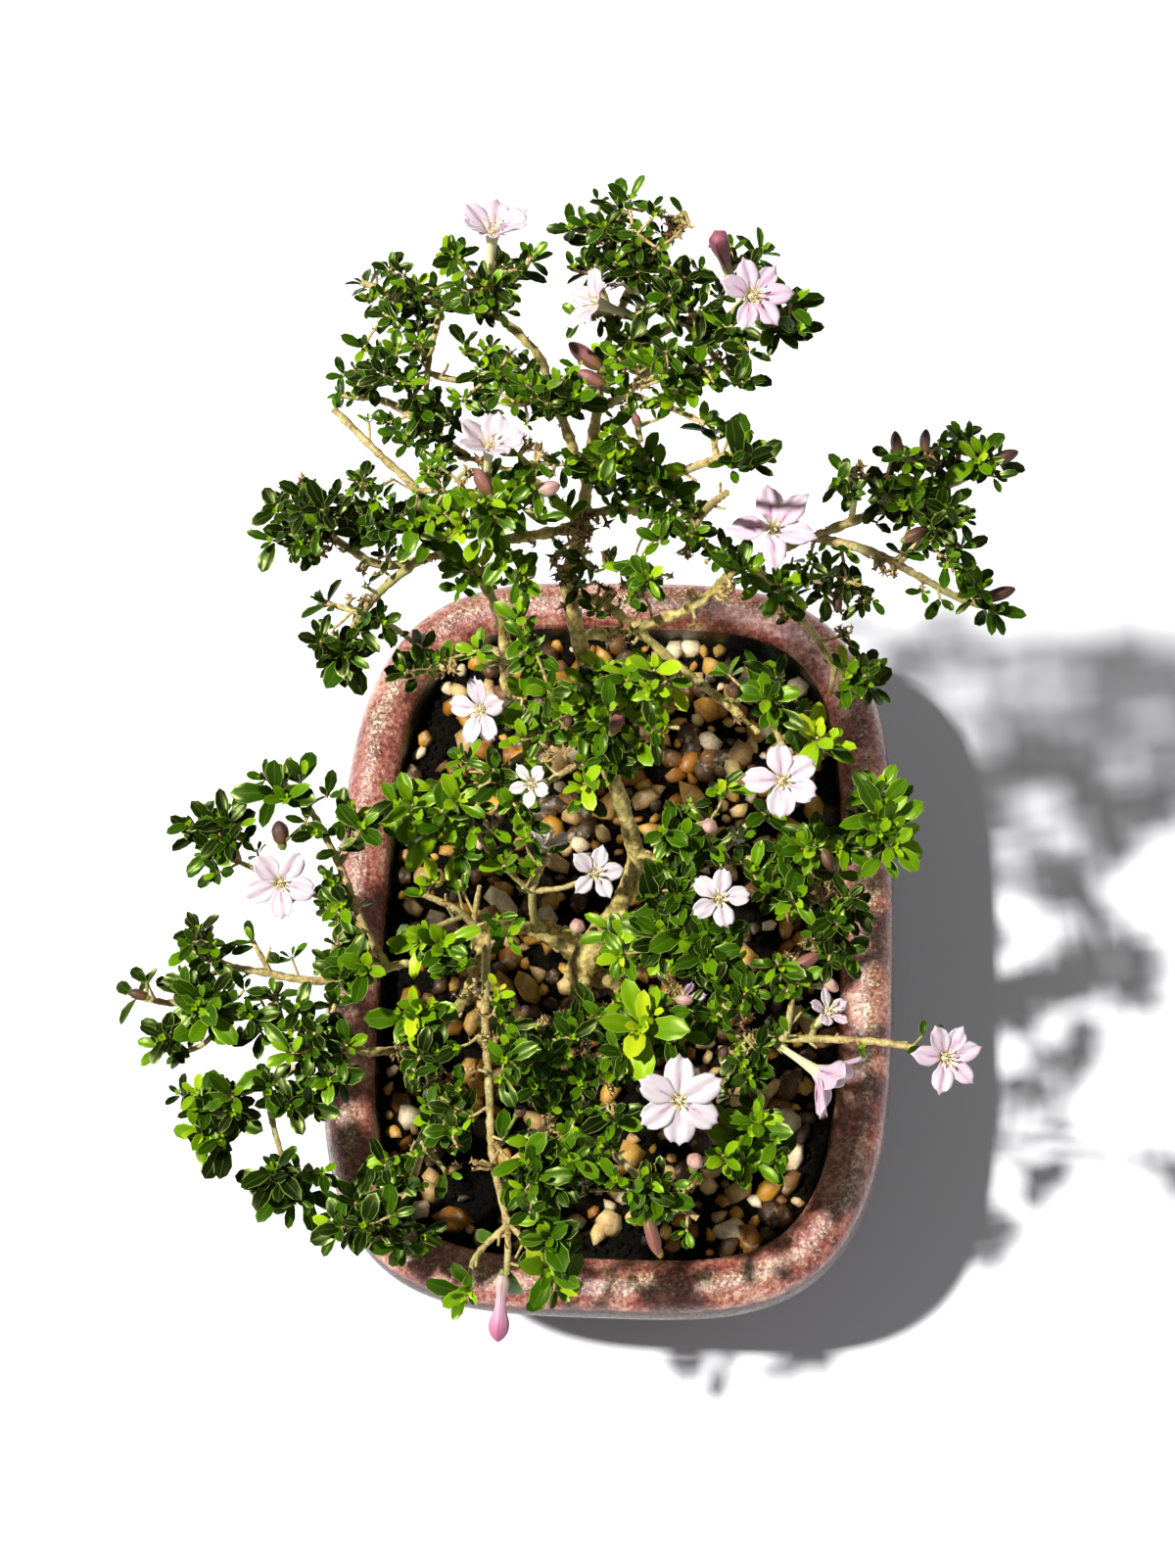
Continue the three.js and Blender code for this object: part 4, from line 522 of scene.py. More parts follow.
def spline(route, values, step):
    """A smooth line through a route's places, and the value that runs evenly along it at each."""
    knots = [Vector(place) for place in route]
    padded = [knots[0], *knots, knots[-1]]
    spans = len(knots) - 1
    line = []
    for span in range(spans):
        before, start, end, after = padded[span:span + 4]
        count = max(1, round((end - start).length / step))
        for i in range(count + (span == spans - 1)):
            t = i / count
            bend = (2 * before - 5 * start + 4 * end - after) * t * t
            twist = (3 * start - before - 3 * end + after) * t * t * t
            place = 0.5 * (2 * start + (end - before) * t + bend + twist)
            reach = (span + t) / spans * (len(values) - 1)
            at = min(int(reach), len(values) - 2)
            line.append((place, mix(values[at], values[at + 1], reach - at)))
    return line


def nearest_on(lines, place):
    """The place on some straight-run lines that lies nearest."""
    best = None
    for line in lines:
        for start, end in zip(line, line[1:]):
            run = end - start
            foot = start + run * clamp((place - start).dot(run) / max(run.length_squared, 1e-9))
            if best is None or (foot - place).length < (best - place).length:
                best = foot
    return best


def new_object(name, mesh):
    piece = bpy.data.objects.new(name, mesh)
    scene.collection.objects.link(piece)
    return piece


def new_mesh(name, points, faces, edges=()):
    mesh = bpy.data.meshes.new(name)
    mesh.from_pydata([tuple(p) for p in points], list(edges), faces)
    return mesh


def ring_faces(rings, steps, capped=False):
    """Faces between rings of points that follow one another, and caps on the first and last."""
    faces = []
    for low in range(0, (rings - 1) * steps, steps):
        for step in range(steps):
            after = (step + 1) % steps
            faces.append((low + step, low + after, low + steps + after, low + steps + step))
    if capped:
        faces.append([*range(steps - 1, -1, -1)])
        faces.append([*range((rings - 1) * steps, rings * steps)])
    return faces


def mark(mesh, name, values, kind="FLOAT"):
    """Values that a mesh's points carry by name."""
    mesh.attributes.new(name, kind, "POINT").data.foreach_set("value", values)


def map_mesh(mesh, name, places):
    """A map of a mesh, from a place for each point."""
    layer = mesh.uv_layers.new(name=name)
    for loop in mesh.loops:
        layer.data[loop.index].uv = places[loop.vertex_index]


def collect(name, forms):
    """Hidden forms for a geometry tree to pick from."""
    kept = bpy.data.collections.new(name)
    for form in forms:
        kept.objects.link(form)
    return kept


def finished(piece):
    """The piece with what its modifiers make of it as its own plain mesh."""
    depsgraph = bpy.context.evaluated_depsgraph_get()
    mesh = bpy.data.meshes.new_from_object(
        piece.evaluated_get(depsgraph), preserve_all_data_layers=True, depsgraph=depsgraph
    )
    piece.modifiers.clear()
    piece.data = mesh
    return piece


def hand_in(piece, slot, *nodes):
    """A finished piece that rides on the part's only body and stands for its nodes."""
    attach(piece, "root")
    if nodes:
        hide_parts(*nodes)
    return piece


def join_pieces(first, others):
    pieces = [first, *others]
    with bpy.context.temp_override(active_object=first, selected_editable_objects=pieces):
        bpy.ops.object.join()
    return first


# ---------------------------------------------------------------- node trees

class Nodes:
    """Nodes under way in one tree."""

    def node(self, kind, inputs=None, at=0, **settings):
        """An output of a new node, with values or links put into its sockets."""
        node = self.tree.nodes.new(kind)
        for key, value in settings.items():
            setattr(node, key, value)
        for key, value in (inputs or {}).items():
            if isinstance(value, bpy.types.NodeSocket):
                self.tree.links.new(value, node.inputs[key])
            else:
                node.inputs[key].default_value = value
        return node.outputs[at]

    def math(self, operation, a, b=0.0, clamp=False):
        return self.node("ShaderNodeMath", {0: a, 1: b}, operation=operation, use_clamp=clamp)

    def object_place(self):
        return self.node("ShaderNodeTexCoord", None, "Object")


class Group(Nodes):
    """A node group with one output, and inputs as name: start value, or name: type."""

    def __init__(self, name, kind, inputs, output, output_type):
        self.tree = bpy.data.node_groups.new(name, kind)
        for label, value in inputs.items():
            if isinstance(value, str):
                self.socket(label, "INPUT", value)
            else:
                kind = "Int" if isinstance(value, int) else "Float"
                self.socket(label, "INPUT", kind).default_value = value
        self.socket(output, "OUTPUT", output_type)
        self.given = self.tree.nodes.new("NodeGroupInput").outputs
        self.output = self.tree.nodes.new("NodeGroupOutput").inputs[0]

    def socket(self, label, in_out, kind):
        kind = "NodeSocket" + kind
        return self.tree.interface.new_socket(label, in_out=in_out, socket_type=kind)

    def carried(self, name, data_type="FLOAT"):
        """A value that the geometry carries by name."""
        return self.node("GeometryNodeInputNamedAttribute", {"Name": name}, data_type=data_type)

    def chosen_forms(self):
        inputs = {"Collection": self.given["Forms"], "Separate Children": True}
        return self.node("GeometryNodeCollectionInfo", {**inputs, "Reset Children": True})

    def give(self, value):
        self.tree.links.new(value, self.output)
        return self.tree

    def give_real(self, geometry):
        """The end of every geometry tree: real geometry, with its material."""
        real = self.node("GeometryNodeRealizeInstances", {"Geometry": geometry})
        inputs = {"Geometry": real, "Material": self.given["Material"]}
        return self.give(self.node("GeometryNodeSetMaterial", inputs))


def stem_tree():
    """Round stems along lines that carry their thickness, with a rippled skin."""
    inputs = {
        "Lines": "Geometry",
        "Sides": 6,
        "Ripple": 0.0001,
        "Ripple Scale": 900.0,
        "Material": "Material",
    }
    group = Group("Stems", "GeometryNodeTree", inputs, "Stems", "Geometry")
    given = group.given
    curve = group.node("GeometryNodeMeshToCurve", {"Mesh": given["Lines"]})
    circle = {"Resolution": given["Sides"], "Radius": 1.0}
    ring = group.node("GeometryNodeCurvePrimitiveCircle", circle)
    sweep = {"Curve": curve, "Profile Curve": ring, "Scale": group.carried("thick")}
    skin = group.node("GeometryNodeCurveToMesh", {**sweep, "Fill Caps": True})
    ripple = group.node("ShaderNodeTexNoise", {"Scale": given["Ripple Scale"], "Detail": 2.0})
    lift = group.math("MULTIPLY", group.math("SUBTRACT", ripple, 0.5), given["Ripple"])
    along = {0: group.node("GeometryNodeInputNormal"), "Scale": lift}
    offset = group.node("ShaderNodeVectorMath", along, operation="SCALE")
    moved = group.node("GeometryNodeSetPosition", {"Geometry": skin, "Offset": offset})
    return group.give_real(group.node("GeometryNodeSetShadeSmooth", {"Geometry": moved}))


def copies_tree():
    """Copies of a few forms on points that carry each copy's form, turn and size."""
    inputs = {"Points": "Geometry", "Forms": "Collection", "Material": "Material"}
    group = Group("Copies", "GeometryNodeTree", inputs, "Copies", "Geometry")
    copies = {
        "Points": group.given["Points"],
        "Instance": group.chosen_forms(),
        "Pick Instance": True,
        "Instance Index": group.carried("form", "INT"),
        "Rotation": group.carried("turn", "QUATERNION"),
        "Scale": group.carried("size"),
    }
    return group.give_real(group.node("GeometryNodeInstanceOnPoints", copies))


def gravel_tree():
    """Pebbles strewn over a bed, none nearer to another than the spacing."""
    inputs = {
        "Bed": "Geometry",
        "Forms": "Collection",
        "Spacing": 0.003,
        "Density": 600000.0,
        "Smallest": 0.002,
        "Largest": 0.006,
        "Seed": 5,
        "Material": "Material",
    }
    group = Group("Gravel", "GeometryNodeTree", inputs, "Pebbles", "Geometry")
    given = group.given
    spread = {
        "Mesh": given["Bed"],
        "Distance Min": given["Spacing"],
        "Density Max": given["Density"],
        "Density Factor": group.carried("cover"),
        "Seed": given["Seed"],
    }
    spots = group.node("GeometryNodeDistributePointsOnFaces", spread, distribute_method="POISSON")
    turns = {"Max": (0.9, 0.9, math.tau), "Seed": given["Seed"]}
    turn = group.node("FunctionNodeRandomValue", turns, data_type="FLOAT_VECTOR")
    lot = group.node("FunctionNodeRandomValue", {"Seed": given["Seed"]}, 1, data_type="FLOAT")
    sizes = {0: group.math("POWER", lot, 1.7), 3: given["Smallest"], 4: given["Largest"]}
    stones = {
        "Points": spots,
        "Instance": group.chosen_forms(),
        "Pick Instance": True,
        "Rotation": group.node("FunctionNodeEulerToRotation", {0: turn}),
        "Scale": group.node("ShaderNodeMapRange", sizes),
    }
    shades = {
        "Geometry": group.node("GeometryNodeInstanceOnPoints", stones),
        "Name": "shade",
        "Value": group.node("FunctionNodeRandomValue", {"Seed": 11}, 1, data_type="FLOAT"),
    }
    kinds = {"data_type": "FLOAT", "domain": "INSTANCE"}
    return group.give_real(group.node("GeometryNodeStoreNamedAttribute", shades, **kinds))


def run_tree(piece, tree, **values):
    """The piece as a geometry tree makes it, with the tree's named inputs set first."""
    modifier = piece.modifiers.new(tree.name, "NODES")
    modifier.node_group = tree
    for socket in tree.interface.items_tree:
        if socket.in_out == "INPUT" and socket.name in values:
            modifier[socket.identifier] = values[socket.name]
    return finished(piece)


def mottle_group():
    """A soft mask of blotches with fine grains in it."""
    inputs = {"Blotch Scale": 60.0, "Grain Scale": 900.0, "Grain Share": 0.5}
    group = Group("Mottle", "ShaderNodeTree", inputs, "Mask", "Float")
    place, given = group.object_place(), group.given
    blotches = {"Vector": place, "Scale": given["Blotch Scale"], "Detail": 3.0, "Roughness": 0.6}
    grains = {"Vector": place, "Scale": given["Grain Scale"], "Detail": 2.0, "Roughness": 0.7}
    blotch = group.node("ShaderNodeTexNoise", blotches)
    grain = group.node("ShaderNodeTexNoise", grains)
    both = {"Factor": given["Grain Share"], "A": blotch, "B": grain}
    return group.give(group.node("ShaderNodeMix", both, data_type="FLOAT"))


def relief_group():
    """A bumped normal from noise of one grain size."""
    inputs = {"Scale": 800.0, "Depth": 0.0002, "Strength": 0.5}
    group = Group("Relief", "ShaderNodeTree", inputs, "Normal", "Vector")
    place, given = group.object_place(), group.given
    grains = {"Vector": place, "Scale": given["Scale"], "Detail": 4.0, "Roughness": 0.65}
    grain = group.node("ShaderNodeTexNoise", grains)
    bump = {"Height": grain, "Distance": given["Depth"], "Strength": given["Strength"]}
    return group.give(group.node("ShaderNodeBump", bump))


STEMS = stem_tree()
COPIES = copies_tree()
GRAVEL = gravel_tree()
MOTTLE = mottle_group()
RELIEF = relief_group()


# ---------------------------------------------------------------- materials

class Finish(Nodes):
    """A material under way: its shader, and short ways to add the nodes that feed it."""

    def __init__(self, name, **values):
        self.material = bpy.data.materials.new(name)
        self.material.use_nodes = True
        self.tree = self.material.node_tree
        self.shader = self.tree.nodes["Principled BSDF"].inputs
        for label, value in values.items():
            self.shader[label.replace("_", " ")].default_value = value

    def put(self, socket, value):
        self.tree.links.new(value, self.shader[socket])

    def mottle(self, blotch, grain, share):
        values = {"Blotch Scale": blotch, "Grain Scale": grain, "Grain Share": share}
        return self.node("ShaderNodeGroup", values, node_tree=MOTTLE)

    def relief(self, scale, depth, strength):
        values = {"Scale": scale, "Depth": depth, "Strength": strength}
        normal = self.node("ShaderNodeGroup", values, node_tree=RELIEF)
        self.put("Normal", normal)
        return normal

    def noise(self, scale, detail=2.0):
        values = {"Vector": self.object_place(), "Scale": scale, "Detail": detail}
        return self.node("ShaderNodeTexNoise", values)

    def wander(self, scale, detail, span):
        """Noise to both sides of nought."""
        return self.math("MULTIPLY", self.math("SUBTRACT", self.noise(scale, detail), 0.5), span)

    def ramp(self, factor, *stops, kind="LINEAR"):
        """Colours or greys along a value, given as (place, colour code or grey)."""
        made = self.node("ShaderNodeValToRGB", {0: factor})
        ramp = made.node.color_ramp
        ramp.interpolation = kind
        while len(ramp.elements) < len(stops):
            ramp.elements.new(1)
        for element, (place, colour) in zip(ramp.elements, stops):
            element.position = place
            grey = (colour, colour, colour, 1)
            element.color = paint(colour) if isinstance(colour, str) else grey
        return made

    def blend(self, factor, a, b, kind="MIX"):
        a, b = [paint(side) if isinstance(side, str) else side for side in (a, b)]
        sides = {0: factor, 6: a, 7: b}
        return self.node("ShaderNodeMix", sides, 2, data_type="RGBA", blend_type=kind)

    def carried(self, name):
        """A value that the piece carries by name."""
        return self.node("ShaderNodeAttribute", None, "Fac", attribute_name=name)

    def off_and_along(self, name):
        """How far off its middle line and how far along it, from a piece's own map."""
        split = self.node("ShaderNodeSeparateXYZ", {0: self.node("ShaderNodeUVMap", uv_map=name)})
        off = self.math("ABSOLUTE", self.math("SUBTRACT", split, 0.5))
        return off, split.node.outputs[1]


def plain_finish(name, grain, *stops, relief=(), **values):
    """A finish of one grain: noise of one scale, or blotches with grains in them."""
    finish = Finish(name, **values)
    factor = finish.mottle(*grain) if len(grain) == 3 else finish.noise(*grain)
    finish.put("Base Color", finish.ramp(factor, *stops))
    if relief:
        finish.relief(*relief)
    return finish.material


def leaf_finish():
    """Glossy blades: dark when old, yellow-green when new, with a pale rib and a pale edge; the darkest
    tones are also painted shade deep in the foliage, and the pale edge is partly the blade's own margin and
    partly painted rim light.
    """
    finish = Finish("leaf_blade", Specular_IOR_Level=0.38, Specular_Tint=(0.8, 1.0, 0.3, 1))
    off_rib, along = finish.off_and_along("blade")
    # Tone ramp from old to new leaves, its darkest stops also painted shade within the foliage
    tint = finish.ramp(
        finish.math("ADD", finish.carried("tone"), finish.wander(180.0, 2.0, 0.22)),
        (0.0, "081401"), (0.18, "142801"), (0.4, "2c4e02"),
        (0.6, "5a8003"), (0.8, "88aa0c"), (1.0, "b4bf1c"),
    )
    tint = finish.blend(finish.ramp(off_rib, (0.0, 0.16), (0.04, 0.0)), tint, "9cba3c")
    tint = finish.blend(finish.ramp(along, (0.0, 0.5), (0.25, 0.0)), tint, "7f9a2a")
    # Pale edge: partly the blade's own margin, partly painted rim light
    tint = finish.blend(finish.ramp(off_rib, (0.44, 0.0), (0.49, 0.6)), tint, "a6b852")
    finish.put("Base Color", tint)
    finish.put("Roughness", finish.ramp(finish.noise(420.0), (0.3, 0.26), (0.7, 0.42)))
    finish.relief(1500.0, 0.00006, 0.35)
    return finish.material


def bark_finish():
    """Olive-tan bark with greyish-olive moss in patches, darker in its furrows and lighter on its bumps as
    painted shade.
    """
    finish = Finish("bark", Roughness=0.8)
    # Furrows darkened and bumps lightened from the trunk's own displacement: painted shade
    skin = finish.math("ADD", finish.mottle(140.0, 900.0, 0.45), finish.carried("hollow"))
    base = finish.ramp(skin, (0.2, "3a2c0c"), (0.36, "877236"), (0.5, "c0aa60"), (0.68, "e2d492"))
    moss = finish.ramp(finish.noise(55.0), (0.52, 0.0), (0.66, 0.5))
    finish.put("Base Color", finish.blend(moss, base, "8a8a48"))
    finish.put("Roughness", finish.ramp(finish.noise(600.0), (0.3, 0.65), (0.7, 0.92)))
    finish.relief(1300.0, 0.0004, 0.7)
    return finish.material


def twig_finish():
    """Young wood: tan and straw, browner in patches and green-tinged in others."""
    finish = Finish("twig_bark", Roughness=0.75)
    skin = finish.mottle(260.0, 1500.0, 0.5)
    base = finish.ramp(skin, (0.32, "5c411a"), (0.42, "967c42"), (0.55, "c2ae70"), (0.72, "dccf9c"))
    green = finish.ramp(finish.noise(70.0), (0.5, 0.0), (0.65, 0.55))
    finish.put("Base Color", finish.blend(green, base, "8a9148"))
    finish.relief(1800.0, 0.0003, 0.6)
    return finish.material


def scrap_finish():
    """Dry stipules and spent calyxes."""
    finish = Finish("dry_scrap", Roughness=0.9)
    both = finish.math("ADD", finish.carried("tone"), finish.noise(400.0))
    half = finish.math("MULTIPLY", both, 0.5)
    tint = finish.ramp(half, (0.25, "2e1d0a"), (0.5, "6f4e26"), (0.75, "a88a54"))
    finish.put("Base Color", tint)
    finish.relief(2200.0, 0.0002, 0.5)
    return finish.material


def petal_finish():
    """White to pale pink, veined, with a magenta streak at each petal's foot and a creamy throat."""
    finish = Finish(
        "petal", Roughness=0.55, Subsurface_Weight=0.12, Subsurface_Scale=0.0008, Sheen_Weight=0.15
    )
    off_rib, along = finish.off_and_along("lobe")
    blush = finish.carried("blush")
    patches = finish.ramp(finish.noise(330.0), (0.25, 1.0), (0.75, 0.35))
    tint = finish.blend(finish.math("MULTIPLY", blush, patches), "cac3c1", "c48fb4")
    near_rib = finish.ramp(off_rib, (0.03, 1.0), (0.11, 0.0))
    stretch = finish.ramp(along, (0.2, 0.0), (0.3, 1.0), (0.44, 0.85), (0.66, 0.0))
    breaks = finish.ramp(finish.noise(900.0, 3.0), (0.3, 0.35), (0.6, 1.0))
    streak = finish.math("MULTIPLY", finish.math("MULTIPLY", near_rib, stretch), breaks)
    strength = finish.math("ADD", finish.math("MULTIPLY", blush, 0.7), 0.6, clamp=True)
    tint = finish.blend(finish.math("MULTIPLY", streak, strength), tint, "962f80")
    lobe = finish.node("ShaderNodeUVMap", uv_map="lobe")
    waves = {"Vector": lobe, "Scale": 3.2, "Distortion": 1.5}
    veins = finish.node("ShaderNodeTexWave", waves, 1, wave_type="BANDS", bands_direction="X")
    vein_mask = finish.ramp(veins, (0.75, 0.0), (1.0, 0.22))
    tint = finish.blend(finish.math("MULTIPLY", vein_mask, blush), tint, "c98fc0")
    throat = finish.ramp(along, (0.13, 1.0), (0.27, 0.0))
    finish.put("Base Color", finish.blend(throat, tint, "d3cc98"))
    finish.relief(700.0, 0.0002, 0.3)
    return finish.material


def bud_finish(name, foot_tint, body_tint, tip_tint):
    """A closed corolla, from its calyx to its tip, with darker pleats."""
    finish = Finish(name, Roughness=0.55, Subsurface_Weight=0.08, Subsurface_Scale=0.0008)
    off_rib, along = finish.off_and_along("lobe")
    body = finish.ramp(along, (0.12, foot_tint), (0.42, body_tint), (0.95, tip_tint))
    dark = finish.ramp(off_rib, (0.3, 0.0), (0.5, 0.6))
    finish.put("Base Color", finish.blend(dark, body, tip_tint, "MULTIPLY"))
    finish.relief(900.0, 0.0003, 0.4)
    return finish.material


def glaze_finish():
    """Mauve-brown glaze, broken to a beige-green speckle along the lip's crest whose brightest stops are
    also painted sparkle, with a dark rim that is partly painted shade where the lip turns under, and an
    inner wall painted near-black as shade.
    """
    finish = Finish("pot_glaze", Coat_Roughness=0.1)
    rim = finish.carried("rim")
    body = finish.ramp(
        finish.mottle(110.0, 800.0, 0.5),
        (0.38, "5a241c"), (0.45, "844236"), (0.52, "a56453"), (0.62, "c8a088"),
    )
    # The pale crest speckle is the glaze breaking paler, and its brightest stops also stand in as painted
    # sparkle of glints
    speckle = finish.mottle(150.0, 1200.0, 0.7)
    pale = finish.ramp(
        speckle, (0.42, "65301f"), (0.48, "86603f"), (0.54, "a48c64"), (0.62, "e2d6b8")
    )
    broad = finish.wander(60.0, 4.0, 2.0)
    fine = finish.wander(900.0, 4.0, 3.4)
    where = finish.math("ADD", finish.math("ADD", finish.carried("crest"), broad), fine)
    coat = finish.blend(finish.ramp(where, (0.55, 0.0), (0.95, 0.85)), body, pale)
    # The rim goes near-black: partly the glaze's darker edge, partly painted shade where the lip turns
    # under
    where = finish.math("ADD", rim, finish.math("MULTIPLY", broad, 0.3))
    coat = finish.blend(finish.ramp(where, (0.45, 0.0), (0.75, 0.85)), coat, "2a1314")
    # The inner wall below the lip is painted near-black: painted shade inside the pot
    where = finish.math("ADD", finish.carried("inside"), finish.math("MULTIPLY", fine, 0.12))
    dark = finish.ramp(finish.noise(200.0), (0.35, "15160f"), (0.65, "33352a"))
    coat = finish.blend(finish.ramp(where, (0.4, 0.0), (0.6, 1.0)), coat, dark)
    finish.put("Base Color", coat)
    finish.put("Roughness", finish.ramp(speckle, (0.38, 0.2), (0.6, 0.45)))
    finish.put("Coat Normal", finish.relief(1000.0, 0.0009, 0.45))
    finish.put("Coat Weight", finish.ramp(rim, (0.3, 1.0), (0.7, 0.1)))
    return finish.material


def shaded_wall_finish():
    """The glaze below the lip, painted near-black as shade under the lip's overhang."""
    values = {"Specular_IOR_Level": 0.0, "Coat_Weight": 0.25, "Coat_Roughness": 0.2}
    finish = Finish("pot_wall_painted_shade", **values)
    speckle = finish.mottle(110.0, 800.0, 0.5)
    tint = finish.ramp(speckle, (0.38, "1d0a0a"), (0.5, "321413"), (0.62, "502822"))
    finish.put("Base Color", tint)
    finish.put("Roughness", finish.ramp(speckle, (0.38, 0.3), (0.6, 0.5)))
    finish.relief(1000.0, 0.0009, 0.45)
    return finish.material


def pebble_finish():
    """Ochre, tan, cream, brown and near-black stones, each with its own shade and waxy patches."""
    finish = Finish("pebble", Specular_IOR_Level=0.4)
    tint = finish.ramp(
        finish.carried("shade"),
        (0.0, "1c1a16"), (0.12, "3a3424"), (0.22, "63431c"), (0.34, "955f14"), (0.46, "bd8720"),
        (0.58, "cfa146"), (0.7, "b5935a"), (0.8, "d2b374"), (0.92, "ead7ae"),
        kind="CONSTANT",
    )
    brown = finish.ramp(finish.mottle(260.0, 1500.0, 0.4), (0.4, 0.0), (0.62, 0.55))
    pale = finish.ramp(finish.noise(420.0, 3.0), (0.56, 0.0), (0.7, 0.4))
    finish.put("Base Color", finish.blend(pale, finish.blend(brown, tint, "7a4d22"), "e6d6b4"))
    finish.put("Roughness", finish.ramp(finish.noise(300.0), (0.35, 0.38), (0.7, 0.7)))
    finish.relief(1400.0, 0.0003, 0.6)
    return finish.material


CLAY = plain_finish(
    "pot_clay", (80.0, 1100.0, 0.55), (0.35, "5b4232"), (0.5, "7d5f49"), (0.65, "96795f"),
    relief=(1200.0, 0.0003, 0.6), Roughness=0.9,
)
SOIL = plain_finish(
    "soil", (160.0, 1100.0, 0.6),
    (0.35, "040302"), (0.5, "0b0905"), (0.62, "17130a"), (0.76, "332a17"),
    relief=(1100.0, 0.0008, 0.8), Roughness=1.0, Specular_IOR_Level=0.08,
)
STAMEN = plain_finish("stamen", (800.0,), (0.35, "efe6c4"), (0.7, "d8c28e"), Roughness=0.6)
CALYX = plain_finish(
    "calyx", (350.0,), (0.3, "4b6a20"), (0.7, "8f8a3c"),
    relief=(1200.0, 0.0002, 0.4), Roughness=0.5,
)
NET = plain_finish("drain_net", (500.0,), (0.4, "1c1c1b"), (0.6, "2c2b28"), Roughness=0.55)
FLOOR = plain_finish("floor", (3.0,), (0.0, "e9e9ec"), (1.0, "f2f2f4"), Roughness=0.9)
PETAL = petal_finish()


# ---------------------------------------------------------------- pot, soil, gravel and nets

def outline_place(inset, z, step, steps):
    """A place on a rounded-rectangle ring, as in the part."""
    angle = step / steps * math.tau
    power = 2 / (CORNER_POWER + POWER_PER_INSET * inset)
    x = math.copysign(abs(math.cos(angle)) ** power, math.cos(angle))
    y = math.copysign(abs(math.sin(angle)) ** power, math.sin(angle))
    return Vector((x * (LIP_WIDTH / 2 - inset), y * (LIP_LENGTH / 2 - inset), z)) * MM


def inset_of(place):
    """How far a place lies inside the lip's outer edge, from the outline's own formula."""
    low, high = 0.0, 60.0
    for _ in range(18):
        inset = (low + high) / 2
        power = CORNER_POWER + POWER_PER_INSET * inset
        x = abs(place.x) / MM / (LIP_WIDTH / 2 - inset)
        y = abs(place.y) / MM / (LIP_LENGTH / 2 - inset)
        if x ** power + y ** power < 1:
            low = inset
        else:
            high = inset
    return (low + high) / 2


def ring_loft(name, rings, steps):
    """Rings joined into a closed shell, from the middle of the first to the middle of the last."""
    points = [outline_place(inset, z, step, steps) for inset, z in rings for step in range(steps)]
    return new_mesh(name, points, ring_faces(len(rings), steps, capped=True))


def run_line(run, step):
    """A run of a profile as a smooth line of (inset, height)."""
    line = spline([(inset, z, 0) for inset, z in run], [0, 0], step)
    return [(place.x, place.y) for place, _ in line]


def cutter(name, mesh_maker, place, extent, **settings):
    """A hidden block or drum that a boolean cuts with."""
    mesh = bpy.data.meshes.new(name)
    form = bmesh.new()
    mesh_maker(form, **settings)
    bmesh.ops.scale(form, vec=mm(extent), verts=form.verts)
    bmesh.ops.translate(form, vec=mm(place), verts=form.verts)
    form.to_mesh(mesh)
    form.free()
    return new_object(name, mesh)


def cut_away(piece, tools):
    for tool in tools:
        modifier = piece.modifiers.new("cut", "BOOLEAN")
        modifier.operation = "DIFFERENCE"
        modifier.object = tool
        modifier.solver = "EXACT"
    finished(piece)
    for tool in tools:
        bpy.data.objects.remove(tool)


def make_pot(*finishes):
    """The pot in glaze, clay and a wall painted dark as shade, marked where the glaze breaks paler on the
    crest, where its rim is darkened partly as painted shade, and where its inner wall is painted dark as
    shade.
    """
    rings = []
    for run in (FOOT_RUN, WALL_RUN, LIP_RUN, INSIDE_RUN):
        rings += run_line(run, RUN_STEP)[:-1]
    pot = new_object("pot_shell", ring_loft("pot_shell", [*rings, INSIDE_RUN[-1]], POT_STEPS))
    drum = {"cap_ends": True, "segments": 32, "radius1": 0.5, "radius2": 0.5, "depth": 1}
    hole = (DRAIN_DIAMETER, DRAIN_DIAMETER, 4 * FLOOR_TOP)
    groove = (LIP_WIDTH, GROOVE_WIDTH, 2 * GROOVE_DEPTH)
    tools = []
    for y in (-DRAIN_OFFSET, DRAIN_OFFSET):
        tools.append(cutter("hole", bmesh.ops.create_cone, (0, y, 0), hole, **drum))
        tools.append(cutter("groove", bmesh.ops.create_cube, (0, y, 0), groove, size=1))
    cut_away(pot, tools)
    mesh = pot.data
    mesh.materials.clear()
    for finish in finishes:
        mesh.materials.append(finish)
    for face in mesh.polygons:
        z = face.center.z / MM
        if z < CLAY_TOP or face.normal.z < -0.9 and z < UNDERSIDE_TOP:
            face.material_index = 1
        # Outward faces below the lip take the wall finish, painted dark as shade
        elif z < SHADED_WALL_TOP and face.center.xy.dot(face.normal.xy) > 0:
            face.material_index = 2
    crest, rim, inside = [], [], []
    for vertex in mesh.vertices:
        inset, z = inset_of(vertex.co), vertex.co.z / MM
        on_crest = max(0, 1 - abs(inset - CREST_INSET) / CREST_REACH)
        crest.append(risen(z, *CREST_START) * on_crest)
        rim.append(risen(z, *RIM_START) * risen(z, *RIM_END) * (inset < RIM_INSET))
        inside.append(risen(z, *INSIDE_END) * (inset > INSIDE_INSET))
    mark(mesh, "crest", crest)
    mark(mesh, "rim", rim)
    mark(mesh, "inside", inside)
    mesh.shade_smooth()
    mesh.set_sharp_from_angle(angle=math.radians(40))
    return hand_in(pot, "pot_glaze", "pot")


def soil_height(x, y, reach):
    """Height of the soil's top: a shallow mound with crumbs on it."""
    crumbs = noise.noise(Vector((x, y, 0)) * 0.22) * 1.1
    crumbs += noise.noise(Vector((x, y, 7)) * 0.8) * 0.5
    return SOIL_EDGE_Z + SOIL_RISE * (1 - reach) + crumbs


def soil_reaches():
    """The reach of each ring of the soil's top, from the wall to just off the middle."""
    return [1 - ring / SOIL_RINGS for ring in range(SOIL_RINGS)]


